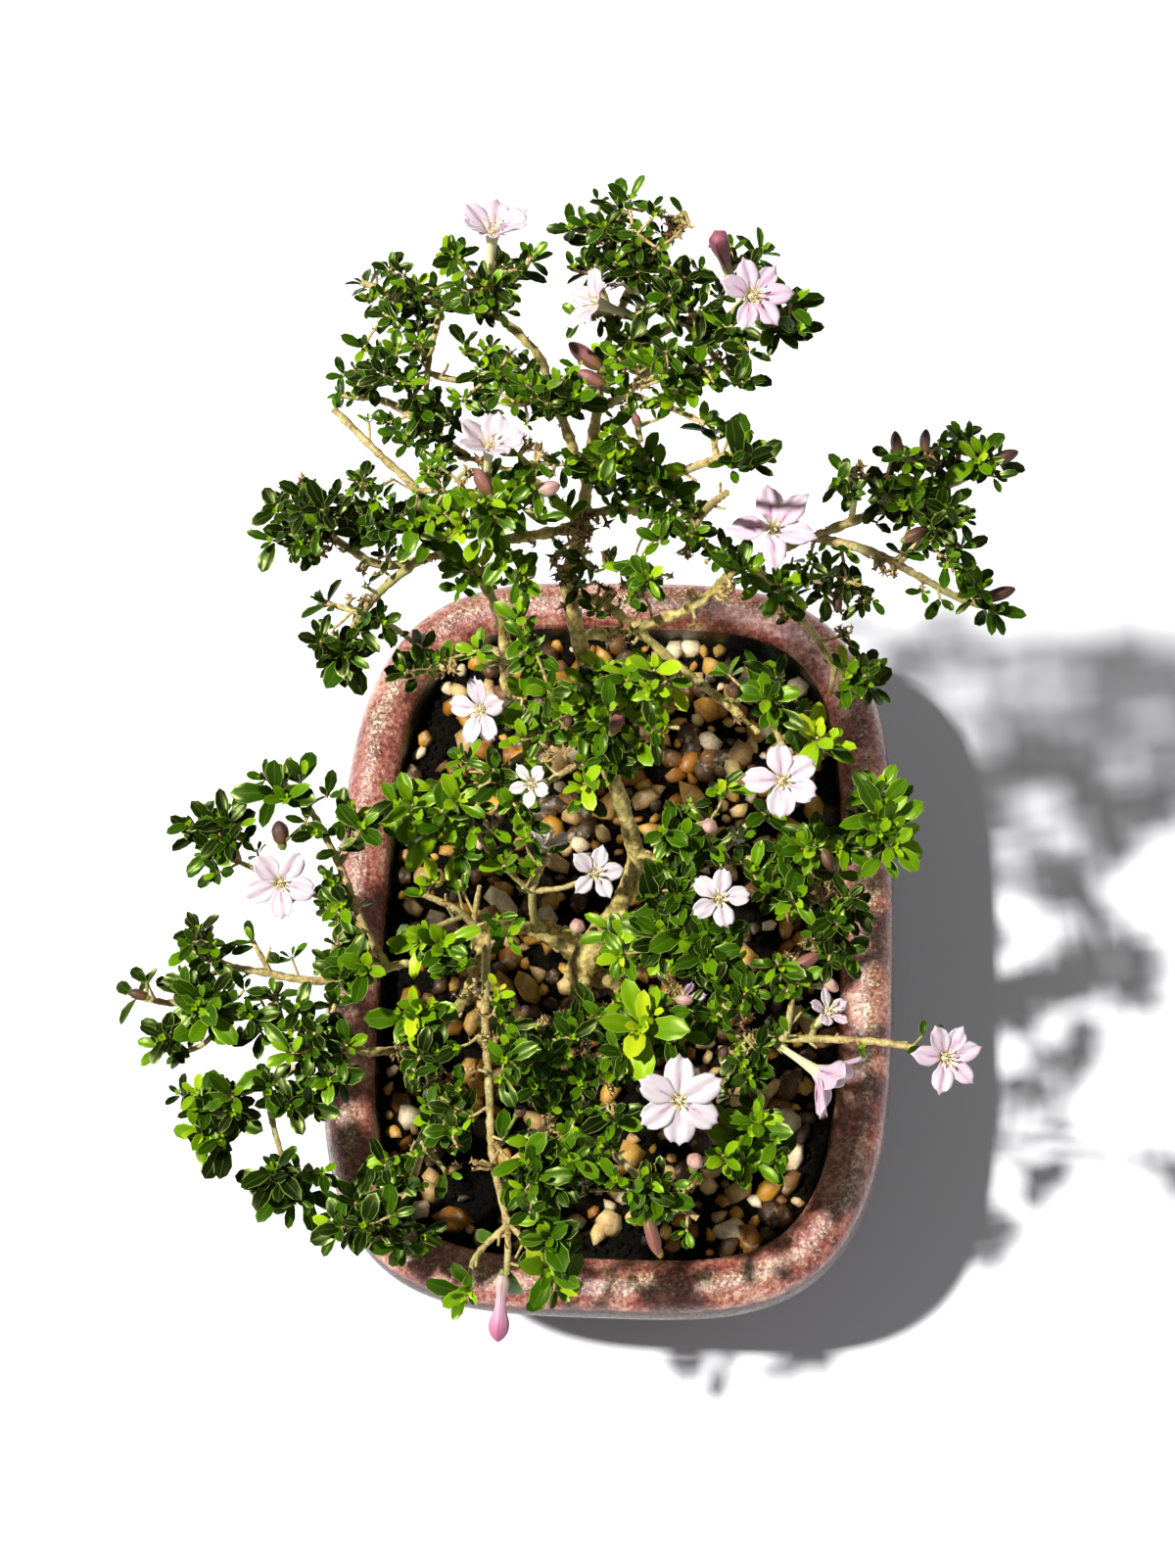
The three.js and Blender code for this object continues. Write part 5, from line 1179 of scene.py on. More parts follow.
def make_soil():
    walls = [(inset + 0.5, z + 0.4) for inset, z in reversed(run_line(INSIDE_RUN[1:], 6))]
    mesh = ring_loft("soil_crumb", [*walls, (SOIL_INSET, SOIL_EDGE_Z)], SOIL_STEPS)
    form = bmesh.new()
    form.from_mesh(mesh)
    form.faces.ensure_lookup_table()
    top = form.faces[-1]
    edge = list(top.verts)
    form.faces.remove(top)
    before = edge
    for reach in soil_reaches()[1:]:
        ring = []
        for vertex in edge:
            x, y = vertex.co.x * reach / MM, vertex.co.y * reach / MM
            ring.append(form.verts.new(mm((x, y, soil_height(x, y, reach)))))
        for i in range(SOIL_STEPS):
            after = (i + 1) % SOIL_STEPS
            form.faces.new((before[i], before[after], ring[after], ring[i]))
        before = ring
    form.faces.new(before)
    form.to_mesh(mesh)
    form.free()
    mesh.materials.append(SOIL)
    mesh.shade_smooth()
    ground = new_object("soil_crumb", mesh)
    forms = collect("crumb_forms", [pebble_form(f"crumb_form_{i}", i + 20) for i in range(3)])
    crumbs = strew("crumbs", forms, 0.1, 0.9, (2.1, 1.4, 3.2), SOIL)
    return hand_in(join_pieces(ground, [crumbs]), "soil", "soil")


def pebble_form(name, seed):
    """A broken stone, about 1 across, longer than wide and flatter still, with worn edges."""
    draw = random.Random(seed)
    mesh = bpy.data.meshes.new(name)
    form = bmesh.new()
    bmesh.ops.create_icosphere(form, subdivisions=1, radius=0.5)
    cuts = []
    for _ in range(7):
        way = Vector((draw.gauss(0, 1), draw.gauss(0, 1), draw.gauss(0, 1))).normalized()
        cuts.append((way, draw.uniform(0.26, 0.4)))
    for vertex in form.verts:
        lumps = noise.noise(vertex.co * 1.9 + Vector((seed * 9.1, 0, 0)))
        vertex.co *= 1 + 0.4 * lumps
        for way, reach in cuts:
            beyond = vertex.co.dot(way) - reach
            if beyond > 0:
                vertex.co -= way * beyond * 0.85
        vertex.co.x *= 1.1 + 0.5 * chance(seed, 2)
        vertex.co.z *= 0.78
    form.to_mesh(mesh)
    form.free()
    mesh.shade_smooth()
    return bpy.data.objects.new(name, mesh)


def strew(name, forms, lift, least, sizes, material):
    """Stones of some forms over the soil, thick in patches and thin where the soil shows."""
    points, cover = [], []
    for reach in soil_reaches():
        for step in range(BED_STEPS):
            edge = outline_place(BED_INSET, 0, step, BED_STEPS) / MM
            x, y = edge.x * reach, edge.y * reach
            points.append(mm((x, y, soil_height(x, y, reach) + lift)))
            patches = noise.noise(Vector((x, y, 3)) * 0.05)
            cover.append(clamp(least + 0.55 + 1.4 * patches, least))
    bed = new_mesh(name, points, ring_faces(SOIL_RINGS, BED_STEPS))
    mark(bed, "cover", cover)
    spacing, smallest, largest = [size * MM for size in sizes]
    return run_tree(
        new_object(name, bed), GRAVEL, Forms=forms, Spacing=spacing, Density=600000.0,
        Smallest=smallest, Largest=largest, Seed=5, Material=material,
    )


def make_gravel():
    forms = collect("pebble_forms", [pebble_form(f"pebble_form_{i}", i + 1) for i in range(12)])
    gravel = strew("gravel_pebbles", forms, 1.0, 0.34, (3.5, 2.3, 8.6), pebble_finish())
    return hand_in(gravel, "gravel", "gravel")


def make_net(name, y):
    """Woven plastic strands over a drain hole."""
    lines = []
    for strand in range(NET_STRANDS):
        across = -NET_SIDE / 2 + NET_SIDE * strand / (NET_STRANDS - 1)
        for flip in (False, True):
            line = []
            for step in range(NET_STEPS + 1):
                along = -NET_SIDE / 2 + NET_SIDE * step / NET_STEPS
                lift = NET_WAVE * (1 if (strand + step // 2 + flip) % 2 else -1)
                x, depth = (across, along) if flip else (along, across)
                line.append(((x, y + depth, FLOOR_TOP + NET_GAP + 0.5 + lift), NET_THICK))
            lines.append(line)
    return hand_in(stem_piece(f"{name}_woven", lines, NET), "net", name)


# ---------------------------------------------------------------- wood

def stem_piece(name, lines, material, sides=6, ripple=0.0):
    """Round stems of (place, thickness), from loose edges that carry the thickness."""
    points, edges, thick = [], [], []
    for line in lines:
        first = len(points)
        points += [mm(place) for place, _ in line]
        thick += [radius * MM for _, radius in line]
        edges += [(at, at + 1) for at in range(first, len(points) - 1)]
    mesh = new_mesh(name, points, [], edges)
    mark(mesh, "thick", thick)
    piece = new_object(name, mesh)
    return run_tree(piece, STEMS, Sides=sides, Ripple=ripple, Material=material)


def knotted(route, radii, gap, swell, draw):
    """A limb's line with a swelling about every gap, where shoots once grew."""
    line = spline(route, radii, 1.2)
    at, travelled = draw.uniform(0.3, 1) * gap, 0
    result = []
    for (place, radius), (before, _) in zip(line, [line[0], *line]):
        travelled += (place - before).length
        while at < travelled:
            at += gap * draw.uniform(0.7, 1.4)
        near = min(abs(travelled - at), abs(travelled - at + gap))
        result.append((place, radius * (1 + swell * math.exp(-((near / 1.4) ** 2)))))
    return result


def make_trunk():
    """Roots, trunk and limbs as one skin, with bark relief."""
    draw = random.Random(12)
    bark = bark_finish()
    lines = [knotted(*TRUNK, 9, 0.16, draw)]
    lines += [knotted(*root, 6, 0.2, draw) for root in ROOTS]
    slim = [(route, [0.74 * radius for radius in radii]) for route, radii in LIMBS]
    lines += [knotted(*limb, 5.5, 0.36, draw) for limb in slim]
    trunk = stem_piece("trunk_and_limbs", lines, bark, sides=12)
    remesh = trunk.modifiers.new("skin", "REMESH")
    remesh.mode = "VOXEL"
    remesh.voxel_size = SKIN_VOXEL * MM
    mesh = finished(trunk).data
    normals = [vertex.normal.copy() for vertex in mesh.vertices]
    relief_shades = []
    for vertex, normal in zip(mesh.vertices, normals):
        place = vertex.co / MM
        stretched = Vector((place.x * 0.9, place.y * 0.9, place.z * 0.25))
        furrow = noise.noise(stretched * 0.9) * 0.22 - 0.12
        pits = noise.noise(place * 0.75) * 0.2 + noise.noise(place * 1.9) * 0.1
        gnarl = noise.noise(place * 0.3) * 0.9 + noise.noise(place * 0.8) * 0.6
        gnarl *= clamp((70 - place.z) / 14)
        vertex.co += normal * (furrow + pits + gnarl) * MM
        # The displacement is also kept to paint shade into the bark's furrows and pits
        relief_shades.append(0.5 * furrow + 0.5 * pits + 0.12 * gnarl)
    mark(mesh, "hollow", relief_shades)
    mesh.materials.clear()
    mesh.materials.append(bark)
    mesh.shade_smooth()
    return hand_in(trunk, "bark", "trunk")


# ---------------------------------------------------------------- leaves and dry scraps

LEAF_STATIONS = [(0, 0.13), (0.3, 0.72), (0.62, 1.0), (0.88, 0.7)]
# Blades: breadth, fold, droop and how much each half bulges; the last is for new leaves
LEAF_FORMS = [
    (0.46, 0.34, 0.1, 0.16),
    (0.51, 0.22, 0.16, 0.22),
    (0.42, 0.42, 0.06, 0.12),
    (0.56, 0.28, 0.2, 0.18),
    (0.38, 0.3, 0.26, 0.14),
]
NEW_LEAF = (0.5, 0.3, 0.05, 0.1)
# Pairs of a shoot from the outside in: lean from its axis, share of the leaf length, how far below the tip
# they sit, and how much newer they are; the outer, lower pairs are darker partly for age and partly as
# painted shade inside the rosette
PAIRS = [
    (1.42, 1.0, 1.6, -0.12), (1.14, 0.96, 0.9, -0.03), (0.8, 0.78, 0.3, 0.06), (0.42, 0.5, 0, 0.18),
]
# New leaves at a shoot's tip: lean, share of the leaf length, and tone
STAR = (0.62, 0.22, 0.74)
SCRAP_STEPS = 8


def leaf_form(name, breadth, fold, droop, quilt, shares=(-1, -0.5, 0, 0.5, 1)):
    """A blade of length 1 along Y with its face up: a lens in section, pointed at its tip."""
    points, places = [], []
    for along, width in LEAF_STATIONS:
        half = breadth / 2 * width
        for share in shares:
            rise = fold * abs(share) * half - droop * along * along
            rise += quilt * half * (1 - (2 * abs(share) - 1) ** 2)
            points.append(Vector((share * half, along, rise)))
            places.append(((share + 1) / 2, along))
        points.append(Vector((0, along, -droop * along * along - 0.035)))
        places.append((0.5, along))
    points.append(Vector((0, 1, -droop)))
    places.append((0.5, 1))
    tip = len(points) - 1
    row = len(shares) + 1
    last = tip - row
    faces = ring_faces(len(LEAF_STATIONS), row)
    faces += [(last + i, last + (i + 1) % row, tip) for i in range(row)]
    faces.append([*range(row - 1, -1, -1)])
    mesh = new_mesh(name, points, faces)
    map_mesh(mesh, "blade", places)
    mesh.shade_smooth()
    rims = {(at + side, at + side + row) for at in range(0, last, row) for side in (0, row - 2)}
    rims |= {(last, tip), (last + row - 2, tip)}
    sharp = mesh.attributes.new("sharp_edge", "BOOLEAN", "EDGE")
    for edge in mesh.edges:
        sharp.data[edge.index].value = tuple(sorted(edge.vertices)) in rims
    return bpy.data.objects.new(name, mesh)


def scrap_form(name, seed):
    """A dry, torn, four-pointed calyx or stipule, about 1.5 across."""
    draw = random.Random(seed)
    points = [Vector((0, 0, -0.06))]
    for step in range(SCRAP_STEPS):
        is_point = step % 2 == 0
        reach = draw.uniform(0.6, 0.95) if is_point else draw.uniform(0.2, 0.34)
        angle = step / SCRAP_STEPS * math.tau
        lift = draw.uniform(0.1, 0.6) if is_point else 0
        points.append(Vector((math.cos(angle) * reach, math.sin(angle) * reach, lift)))
    points.append(Vector((0, 0, 0.12)))
    faces = []
    for step in range(SCRAP_STEPS):
        a, b = 1 + step, 1 + (step + 1) % SCRAP_STEPS
        faces += [(0, b, a), (len(points) - 1, a, b)]
    return bpy.data.objects.new(name, new_mesh(name, points, faces))


class Copies:
    """Places, turns, sizes, forms and tones of the copies that make up one piece."""

    def __init__(self):
        self.rows = []

    def put(self, *row):
        self.rows.append(row)

    def piece(self, name, forms, material):
        mesh = new_mesh(name, [mm(row[0]) for row in self.rows], [])
        mark(mesh, "turn", [part for row in self.rows for part in row[1]], "QUATERNION")
        mark(mesh, "size", [row[2] * MM for row in self.rows])
        mark(mesh, "form", [row[3] for row in self.rows], "INT")
        mark(mesh, "tone", [row[4] for row in self.rows])
        return run_tree(new_object(name, mesh), COPIES, Forms=forms, Material=material)


def basis_turn(along, face):
    """The turn that lays a form's Y along a direction and its face as near to another as it can."""
    along = along.normalized()
    face = (face - along * face.dot(along)).normalized()
    return Matrix((along.cross(face), along, face)).transposed().to_quaternion()


def any_side(axis, angle):
    return Quaternion(axis, angle) @ axis.orthogonal().normalized()


def in_frame(place):
    """Where a place shows in the camera's frame, and its distance ahead of the camera."""
    gap = place - CAMERA_PLACE
    ahead = gap.dot(CAMERA_AHEAD)
    across = FRAME_WIDTH / 2 + FOCAL * gap.dot(CAMERA_RIGHT) / ahead
    return across, FRAME_HEIGHT / 2 - FOCAL * gap.dot(CAMERA_UP) / ahead, ahead


def sight_line(across, down):
    """The way from the camera through a place in its frame, one millimetre ahead."""
    right = CAMERA_RIGHT * (across - FRAME_WIDTH / 2)
    return CAMERA_AHEAD + (right - CAMERA_UP * (down - FRAME_HEIGHT / 2)) / FOCAL


def seen_at(across, down, ahead):
    """The place that shows at a place in the frame, so far ahead of the camera."""
    return CAMERA_PLACE + sight_line(across, down) * ahead


def open_room():
    """A test of whether a leaf at a place leaves the blooms, bare wood and openings in view."""
    kept = [(Vector(mouth), across / 2, 0.95) for _, mouth, across, *_ in BLOOMS.values()]
    for foot, tip, across in BUDS.values():
        kept.append((Vector(foot).lerp(Vector(tip), 0.6), across * 0.9, 0.95))
    # The trunk's foot and the front twig only need the lamp's light, so nothing is kept clear of
    # them for the camera
    for place in [*TRUNK[0][1:6], *SPRAYS["front_cascade"][-1][0][1:]]:
        kept.append((Vector(place), 5, -1))
    lamp = Vector(KEY_PLACE) / MM
    sights = []
    for place, radius, in_view in kept:
        for eye, share in ((CAMERA_PLACE, in_view), (lamp, 0.9)):
            sights.append((place, (eye - place).normalized(), radius * share))
    openings = [*OPEN_SPOTS]
    openings += [(x, y, spread * 0.75, spread * 0.75) for x, y, spread, _ in DRY_PATCHES]
    for x0, y0, x1, y1, wide in sum(SMALL_BUDS.values(), []):
        openings.append(((x0 + x1) / 2, (y0 + y1) / 2, wide * 0.6, wide * 0.6))

    def is_free(place, size):
        for start, sight, clear in sights:
            gap = place - start
            depth = gap.dot(sight)
            if -2.5 < depth < 70 and (gap - sight * depth).length < clear + size * 0.34:
                return False
        across, down, ahead = in_frame(place)
        reach = size * 0.2 * FOCAL / ahead
        for x, y, wide, high in openings:
            if ((across - x) / (wide + reach)) ** 2 + ((down - y) / (high + reach)) ** 2 < 1:
                return False
        for x0, y0, x1, y1, clear in OPEN_STRETCHES:
            run_x, run_y = x1 - x0, y1 - y0
            share = (across - x0) * run_x + (down - y0) * run_y
            share = clamp(share / max(1, run_x**2 + run_y**2))
            off = math.hypot(across - x0 - run_x * share, down - y0 - run_y * share)
            if off < clear + reach:
                return False
        return True

    return is_free


def walk(line, first, gap, draw):
    """Places about every gap along a line, with the way that it heads there."""
    travelled, due = 0.0, first
    for (before, _), (place, _) in zip(line, line[1:]):
        step = (place - before).length
        while due <= travelled + step:
            share = (due - travelled) / step
            yield before.lerp(place, share), (place - before).normalized(), due
            due += gap * draw.uniform(0.75, 1.3)
        travelled += step


def rooted(routes):
    """A spray's routes, each starting on the wood or on the earlier routes that it grows from."""
    wood = [[Vector(p) for p in route] for route, _ in [TRUNK, *LIMBS]]
    settled = []
    for route in routes:
        start = nearest_on(settled or wood, Vector(route[0]))
        settled.append([start, *[Vector(p) for p in route[1:]]])
    return settled


class Growth:
    """The tree as it grows: its twigs, leaves and scraps, and the wood that shoots grow from."""

    def __init__(self):
        self.twigs = []
        self.scraps = Copies()
        self.leaves = {name: Copies() for name in [*SPRAYS, "limbs"]}
        self.is_free = open_room()
        self.places = np.zeros((40000, 3))
        self.owners = []
        self.settled = 0

    def settle(self, line, owner):
        """Places on a line that new shoots may grow from, for one owner."""
        for place, _ in line:
            self.places[len(self.owners)] = place
            self.owners.append(owner)

    def front_most(self, across, down):
        """How far ahead the settled wood is that shows nearest to a place in the frame."""
        way = np.array(sight_line(across, down))
        gaps = self.places[:self.settled] - np.array(CAMERA_PLACE)
        ahead = gaps @ np.array(CAMERA_AHEAD)
        off = np.linalg.norm(gaps - np.outer(ahead, way), axis=1)
        return float(ahead[off < off.min() + 3].min())

    def nearest(self, place):
        known = self.places[:len(self.owners)]
        at = int(np.argmin(((known - np.array(place)) ** 2).sum(axis=1)))
        return Vector(known[at]), self.owners[at]

    def drawn_in(self, place, longest):
        """The wood nearest to a place, and the place itself drawn in to no farther than so."""
        wood, _ = self.nearest(place)
        gap = place - wood
        return wood, wood + gap * min(1, longest / max(0.1, gap.length))

    def twig(self, places, radii, step=STEM_STEP):
        line = spline(places, radii, step)
        self.twigs.append(line)
        return line

    def add_scraps(self, line, draw, off=0.0):
        """Dry stipules round the nodes of a twig, or so far off a limb's middle."""
        for place, heading, _ in walk(line, 0.2, 1.9, draw):
            side = any_side(heading, draw.uniform(0, math.tau))
            turn = basis_turn(heading * 0.6 + side, side)
            size = draw.uniform(0.7, 1.4)
            self.scraps.put(place + side * off, turn, size, draw.randrange(3), draw.uniform(0, 1))

    def grow_shoot(self, owner, tip, heading, length, pairs, tone, draw):
        """Crossed pairs of leaves round a shoot's tip, with a bright star of new ones inside."""
        leaves = self.leaves[owner]
        axis = (heading.normalized() * 0.6 + UP * 0.7).normalized()
        turn = draw.uniform(0, math.pi)
        for number, (lean, share, below, age_and_shade) in enumerate(pairs):
            for end in (0, 1):
                size = length * share * draw.uniform(0.8, 1.14)
                angle = turn + number * math.pi / 2 + end * math.pi + draw.gauss(0, 0.16)
                side = any_side(axis, angle)
                leans = lean + draw.gauss(0, 0.13)
                along = axis * math.cos(leans) + side * math.sin(leans)
                face = axis * math.sin(leans) - side * math.cos(leans)
                face = face + UP * 0.55 + any_side(along, draw.uniform(0, math.tau)) * 0.16
                root = tip - axis * below + side * 0.35
                middle = root + along * size * 0.55
                if draw.random() < MISSING_LEAVES or not self.is_free(middle, size):
                    continue
                # The pair's step in tone is partly age and partly painted shade on the lower pairs
                shade = tone + age_and_shade + draw.gauss(0, 0.11)
                form = draw.randrange(len(LEAF_FORMS))
                leaves.put(root, basis_turn(along, face), size, form, shade)
        if draw.random() < TIPS_WITHOUT_STAR or not self.is_free(tip, length * 0.3):
            return
        lean, share, shade = STAR
        for end in range(4):
            side = any_side(axis, turn + end * math.pi / 2)
            along = axis * math.cos(lean) + side * math.sin(lean)
            place, turned = tip + axis * 0.2, basis_turn(along, axis)
            leaves.put(place, turned, length * share, len(LEAF_FORMS), shade)

    def grow_spray(self, number, name):
        """A spray's twigs, each with leafy shoots that climb round it."""
        leaf, tone, spread, bare, routes = SPRAYS[name]
        draw = random.Random(number * 17 + 5)
        leaf *= mix(0.82, 0.66, clamp((routes[0][-1][2] - 90) / 90))
        for index, route in enumerate(rooted(routes)):
            line = knotted(route, SIDE_TWIG_RADII if index else TWIG_RADII, 3.0, 0.55, draw)
            self.twigs.append(line)
            self.settle(line, name)
            self.add_scraps(line, draw)
            if index in bare:
                continue
            length = sum((b[0] - a[0]).length for a, b in zip(line, line[1:]))
            end = line[-1][0]
            self.grow_shoot(name, end, end - line[-2][0], leaf, PAIRS, tone + 0.06, draw)
            first = 2.5 if index else max(3.0, 0.2 * length)
            angle = draw.uniform(0, math.tau)
            for place, heading, due in walk(line, first, SHOOT_GAP * spread, draw):
                if due > length - 2.2:
                    break
                angle += TURN_STEP
                side = any_side(heading, angle)
                way = (heading * 0.45 + side * 0.85 + UP * 0.4).normalized()
                reach = draw.uniform(1.6, 6.2)
                bend = place + way * reach * 0.55 + Vector((0, 0, 0.3))
                tip = place + (way + UP * 0.25).normalized() * reach
                self.settle(self.twig([place, bend, tip], SHOOT_RADII)[1:], name)
                turn, size = basis_turn(way, side), draw.uniform(0.8, 1.5)
                self.scraps.put(place, turn, size, 0, draw.uniform(0, 1))
                size = leaf * draw.uniform(0.62, 1.0)
                pairs = PAIRS[draw.choice((0, 1, 1)):]
                shade = tone + draw.gauss(0, 0.07)
                self.grow_shoot(name, tip, way, size, pairs, shade, draw)

    def grow_tufts(self):
        """Short leafy shoots at the tufts' places, each from the nearest wood."""
        draw = random.Random(77)
        self.settled = len(self.owners)
        for x, y, wide, high, count, leaf, tone in TUFTS:
            for number in range(count):
                out, angle = math.sqrt((number + 0.5) / count), number * TURN_STEP
                across, down = x + wide * out * math.cos(angle), y + high * out * math.sin(angle)
                ahead = self.front_most(across, down)
                for _ in range(TUFT_SHOOTS):
                    spot = (across + draw.gauss(0, TUFT_SPREAD), down + draw.gauss(0, TUFT_SPREAD))
                    tip = seen_at(*spot, ahead + draw.uniform(*TUFT_DEPTH))
                    foot, owner = self.nearest(tip)
                    gap = tip - foot
                    is_fit = SHORTEST_SHOOT <= gap.length <= LONGEST_SHOOT
                    if not is_fit or not self.is_free(tip, leaf):
                        continue
                    bend = foot.lerp(tip, 0.55) + Vector((0, 0, -0.12 * gap.length))
                    side = any_side(gap.normalized(), draw.uniform(0, math.tau))
                    bend += side * 0.1 * gap.length
                    line = self.twig([foot, bend, tip], SHOOT_RADII)
                    self.settle(line[1:], owner)
                    self.add_scraps(line, draw)
                    pairs = PAIRS[draw.choice((0, 1, 1, 2)):]
                    size = leaf * draw.uniform(0.75, 1.22) * (1.1 if down > 640 else 1.0)
                    heading = gap.normalized() * 0.5 - CAMERA_AHEAD * 0.5
                    # Tufts' tones are lowered a little: painted shade among the leaves low in the pot
                    shade = 0.92 * tone + draw.gauss(0, 0.17)
                    self.grow_shoot(owner, tip, heading, size, pairs, shade, draw)

    def add_dry_stars(self):
        """Spent calyxes on short stalks, facing the camera, and clumps of dry stipules."""
        draw = random.Random(41)
        for across, down, width in DRY_STARS:
            ahead = self.front_most(across, down) - 3
            wood, place = self.drawn_in(seen_at(across, down, ahead), 4.5)
            self.twig([wood, wood.lerp(place, 0.6), place], SHOOT_RADII)
            face = -CAMERA_AHEAD + Vector((draw.gauss(0, 0.4), draw.gauss(0, 0.4), 0))
            turn = basis_turn(any_side(face.normalized(), draw.uniform(0, math.tau)), face)
            size = width * ahead / FOCAL / 1.5
            self.scraps.put(place, turn, size, draw.randrange(3), draw.uniform(0.5, 1))
        for across, down, spread, count in DRY_PATCHES:
            for _ in range(round(1.4 * count)):
                spot = (across + draw.gauss(0, spread / 2), down + draw.gauss(0, spread / 2))
                wood, place = self.drawn_in(seen_at(*spot, self.front_most(*spot)), 3)
                place = place - CAMERA_AHEAD * draw.uniform(0.2, 1.5)
                face = Vector((draw.gauss(0, 1), draw.gauss(0, 1), draw.gauss(0.5, 1)))
                face = face.normalized()
                along = any_side(face, draw.uniform(0, math.tau))
                turn, size = basis_turn(along, face), draw.uniform(1.1, 2.2)
                self.scraps.put(place, turn, size, draw.randrange(3), draw.random())
                bend = wood.lerp(place, 0.5) + along * draw.uniform(0.3, 1.2)
                end = place + face * draw.uniform(0.2, 1)
                self.twig([wood, bend, place, end], (0.42, 0.26), 1.2)


# ---------------------------------------------------------------- blooms and buds

PETAL_COLUMNS = 10
PETAL_ROWS = 9
TUBE_ROWS = 6
TUBE_RADIUS = 0.85
TUBE_FLARE = 0.85
THROAT_RADIUS = TUBE_RADIUS + TUBE_FLARE * 0.55 ** 1.6
THROAT_DEPTH = 1.2
THROAT_HAIRS = 18
PATH_STEPS = 12
# Buds: share of the length and of half the width, from the foot to the tip
BUD_PROFILE = [
    (0, 0.5), (0.12, 0.8), (0.3, 0.55), (0.5, 0.62), (0.68, 1.0), (0.82, 0.97), (0.93, 0.6), (1, 0.12),
]
BLUNT_PROFILE = [(0, 0.45), (0.2, 0.6), (0.4, 0.7), (0.62, 0.95), (0.84, 1.0), (0.95, 0.85), (1, 0.4)]
SMALL_PROFILE = [(0, 0.5), (0.2, 0.9), (0.45, 1.0), (0.64, 0.94), (0.82, 0.7), (0.94, 0.4), (1, 0.12)]
BUD_SIDES = 15
BUD_PLEATS = 5


def petal_tip(u, point):
    """How far a petal reaches at a place across it: one long point between two short ones."""
    shoulder = 0.05 * math.exp(-(((abs(u) - 0.62) / 0.18) ** 2))
    middle = 0.12 * math.exp(-((u / 0.2) ** 2))
    blunt = 0.86 + middle + shoulder - 0.4 * max(0, abs(u) - 0.7)
    return mix(blunt, 1 - 0.34 * abs(u) ** 0.85, point)


def petal_width(v):
    """Half a petal's width along it, as a share of its widest."""
    swell = 0.75 * math.sin(min(1, v / 0.66) * math.pi / 2) ** 1.6
    return 0.25 + swell - 0.45 * max(0, v - 0.7) ** 1.1


def petal_path(travel, reach, lean):
    """Where a petal's middle line is after a share of its way: outward, up, and its angle."""
    outward, rise = 0.0, 0.0
    for step in range(PATH_STEPS):
        share = (step + 0.5) / PATH_STEPS * travel
        angle = mix(0.35, lean, min(1, share / 0.3)) + 0.35 * max(0, share - 0.5)
        outward += math.sin(angle) * travel / PATH_STEPS
        rise += math.cos(angle) * travel / PATH_STEPS
    scale = reach / max(0.55, math.sin(lean))
    return outward * scale, rise * scale, angle


def corolla(name, bloom, axis, spoke, draw):
    """The tube and petals of a bloom as one thin sheet, mapped across and along each petal."""
    foot, mouth, across, ways, opening, breadth, pointed, _ = bloom
    foot, mouth = Vector(foot), Vector(mouth)
    petals, turn = len(ways), ways[0]
    columns = petals * PETAL_COLUMNS
    points, places = [], []
    for row in range(TUBE_ROWS):
        share = row / (TUBE_ROWS - 1)
        radius = mix(0.55, TUBE_RADIUS, share) + TUBE_FLARE * max(0, share - 0.45) ** 1.6
        middle = foot + axis * ((mouth - foot).length - THROAT_DEPTH) * share
        for column in range(columns):
            angle = math.radians(turn) + (column / PETAL_COLUMNS - 0.5) / petals * math.tau
            points.append(middle + spoke(angle) * radius)
            places.append((0.5, 0.12 * share))
    faces = ring_faces(TUBE_ROWS, columns)
    throat = (TUBE_ROWS - 1) * columns
    for petal in range(petals):
        even = math.radians(turn) + petal / petals * math.tau
        strays = math.radians((ways[petal] - turn - petal / petals * 360 + 180) % 360 - 180)
        reach = (across / 2 - THROAT_RADIUS * 0.4) * draw.uniform(0.94, 1.07)
        half = breadth * across / 2 * draw.uniform(0.92, 1.08)
        lean = math.radians(opening) + draw.gauss(0, 0.09)
        twist = draw.gauss(0, 0.2)
        wave = draw.uniform(0, math.tau)
        sides = range(PETAL_COLUMNS + 1)
        before = [throat + (petal * PETAL_COLUMNS + column) % columns for column in sides]
        for row in range(1, PETAL_ROWS + 1):
            ring = [*range(len(points), len(points) + PETAL_COLUMNS + 1)]
            for column in sides:
                u = column / PETAL_COLUMNS * 2 - 1
                v = row / PETAL_ROWS
                end = petal_tip(u, pointed)
                travel = v * end if v > 0.5 else v * mix(1, end, v / 0.5)
                outward, rise, tangent = petal_path(travel, reach, lean)
                start = u * math.pi / petals
                fade = max(0, 1 - v / 0.25)
                radial = THROAT_RADIUS * mix(1, math.cos(start), fade) + outward
                side = mix(u * half * petal_width(v), THROAT_RADIUS * math.sin(start), fade)
                cup = 0.2 * half * (u * u) * (1 - v) + 0.13 * half * math.sin(u * 6 + wave) * v
                cup -= 0.04 * half * math.exp(-((u / 0.2) ** 2)) * (1 - v * 0.5)
                way = even + strays * min(1, v / 0.35)
                out = spoke(way)
                lift = axis * math.sin(tangent) - out * math.cos(tangent)
                point = mouth - axis * THROAT_DEPTH + out * radial + axis * rise
                point += spoke(way + math.pi / 2) * side + lift * (cup + twist * side * 0.5 * v)
                points.append(point)
                places.append(((u + 1) / 2, 0.12 + 0.88 * travel))
            for i in range(PETAL_COLUMNS):
                faces.append((before[i], before[i + 1], ring[i + 1], ring[i]))
            before = ring
    mesh = new_mesh(name, [point * MM for point in points], faces)
    map_mesh(mesh, "lobe", places)
    return mesh


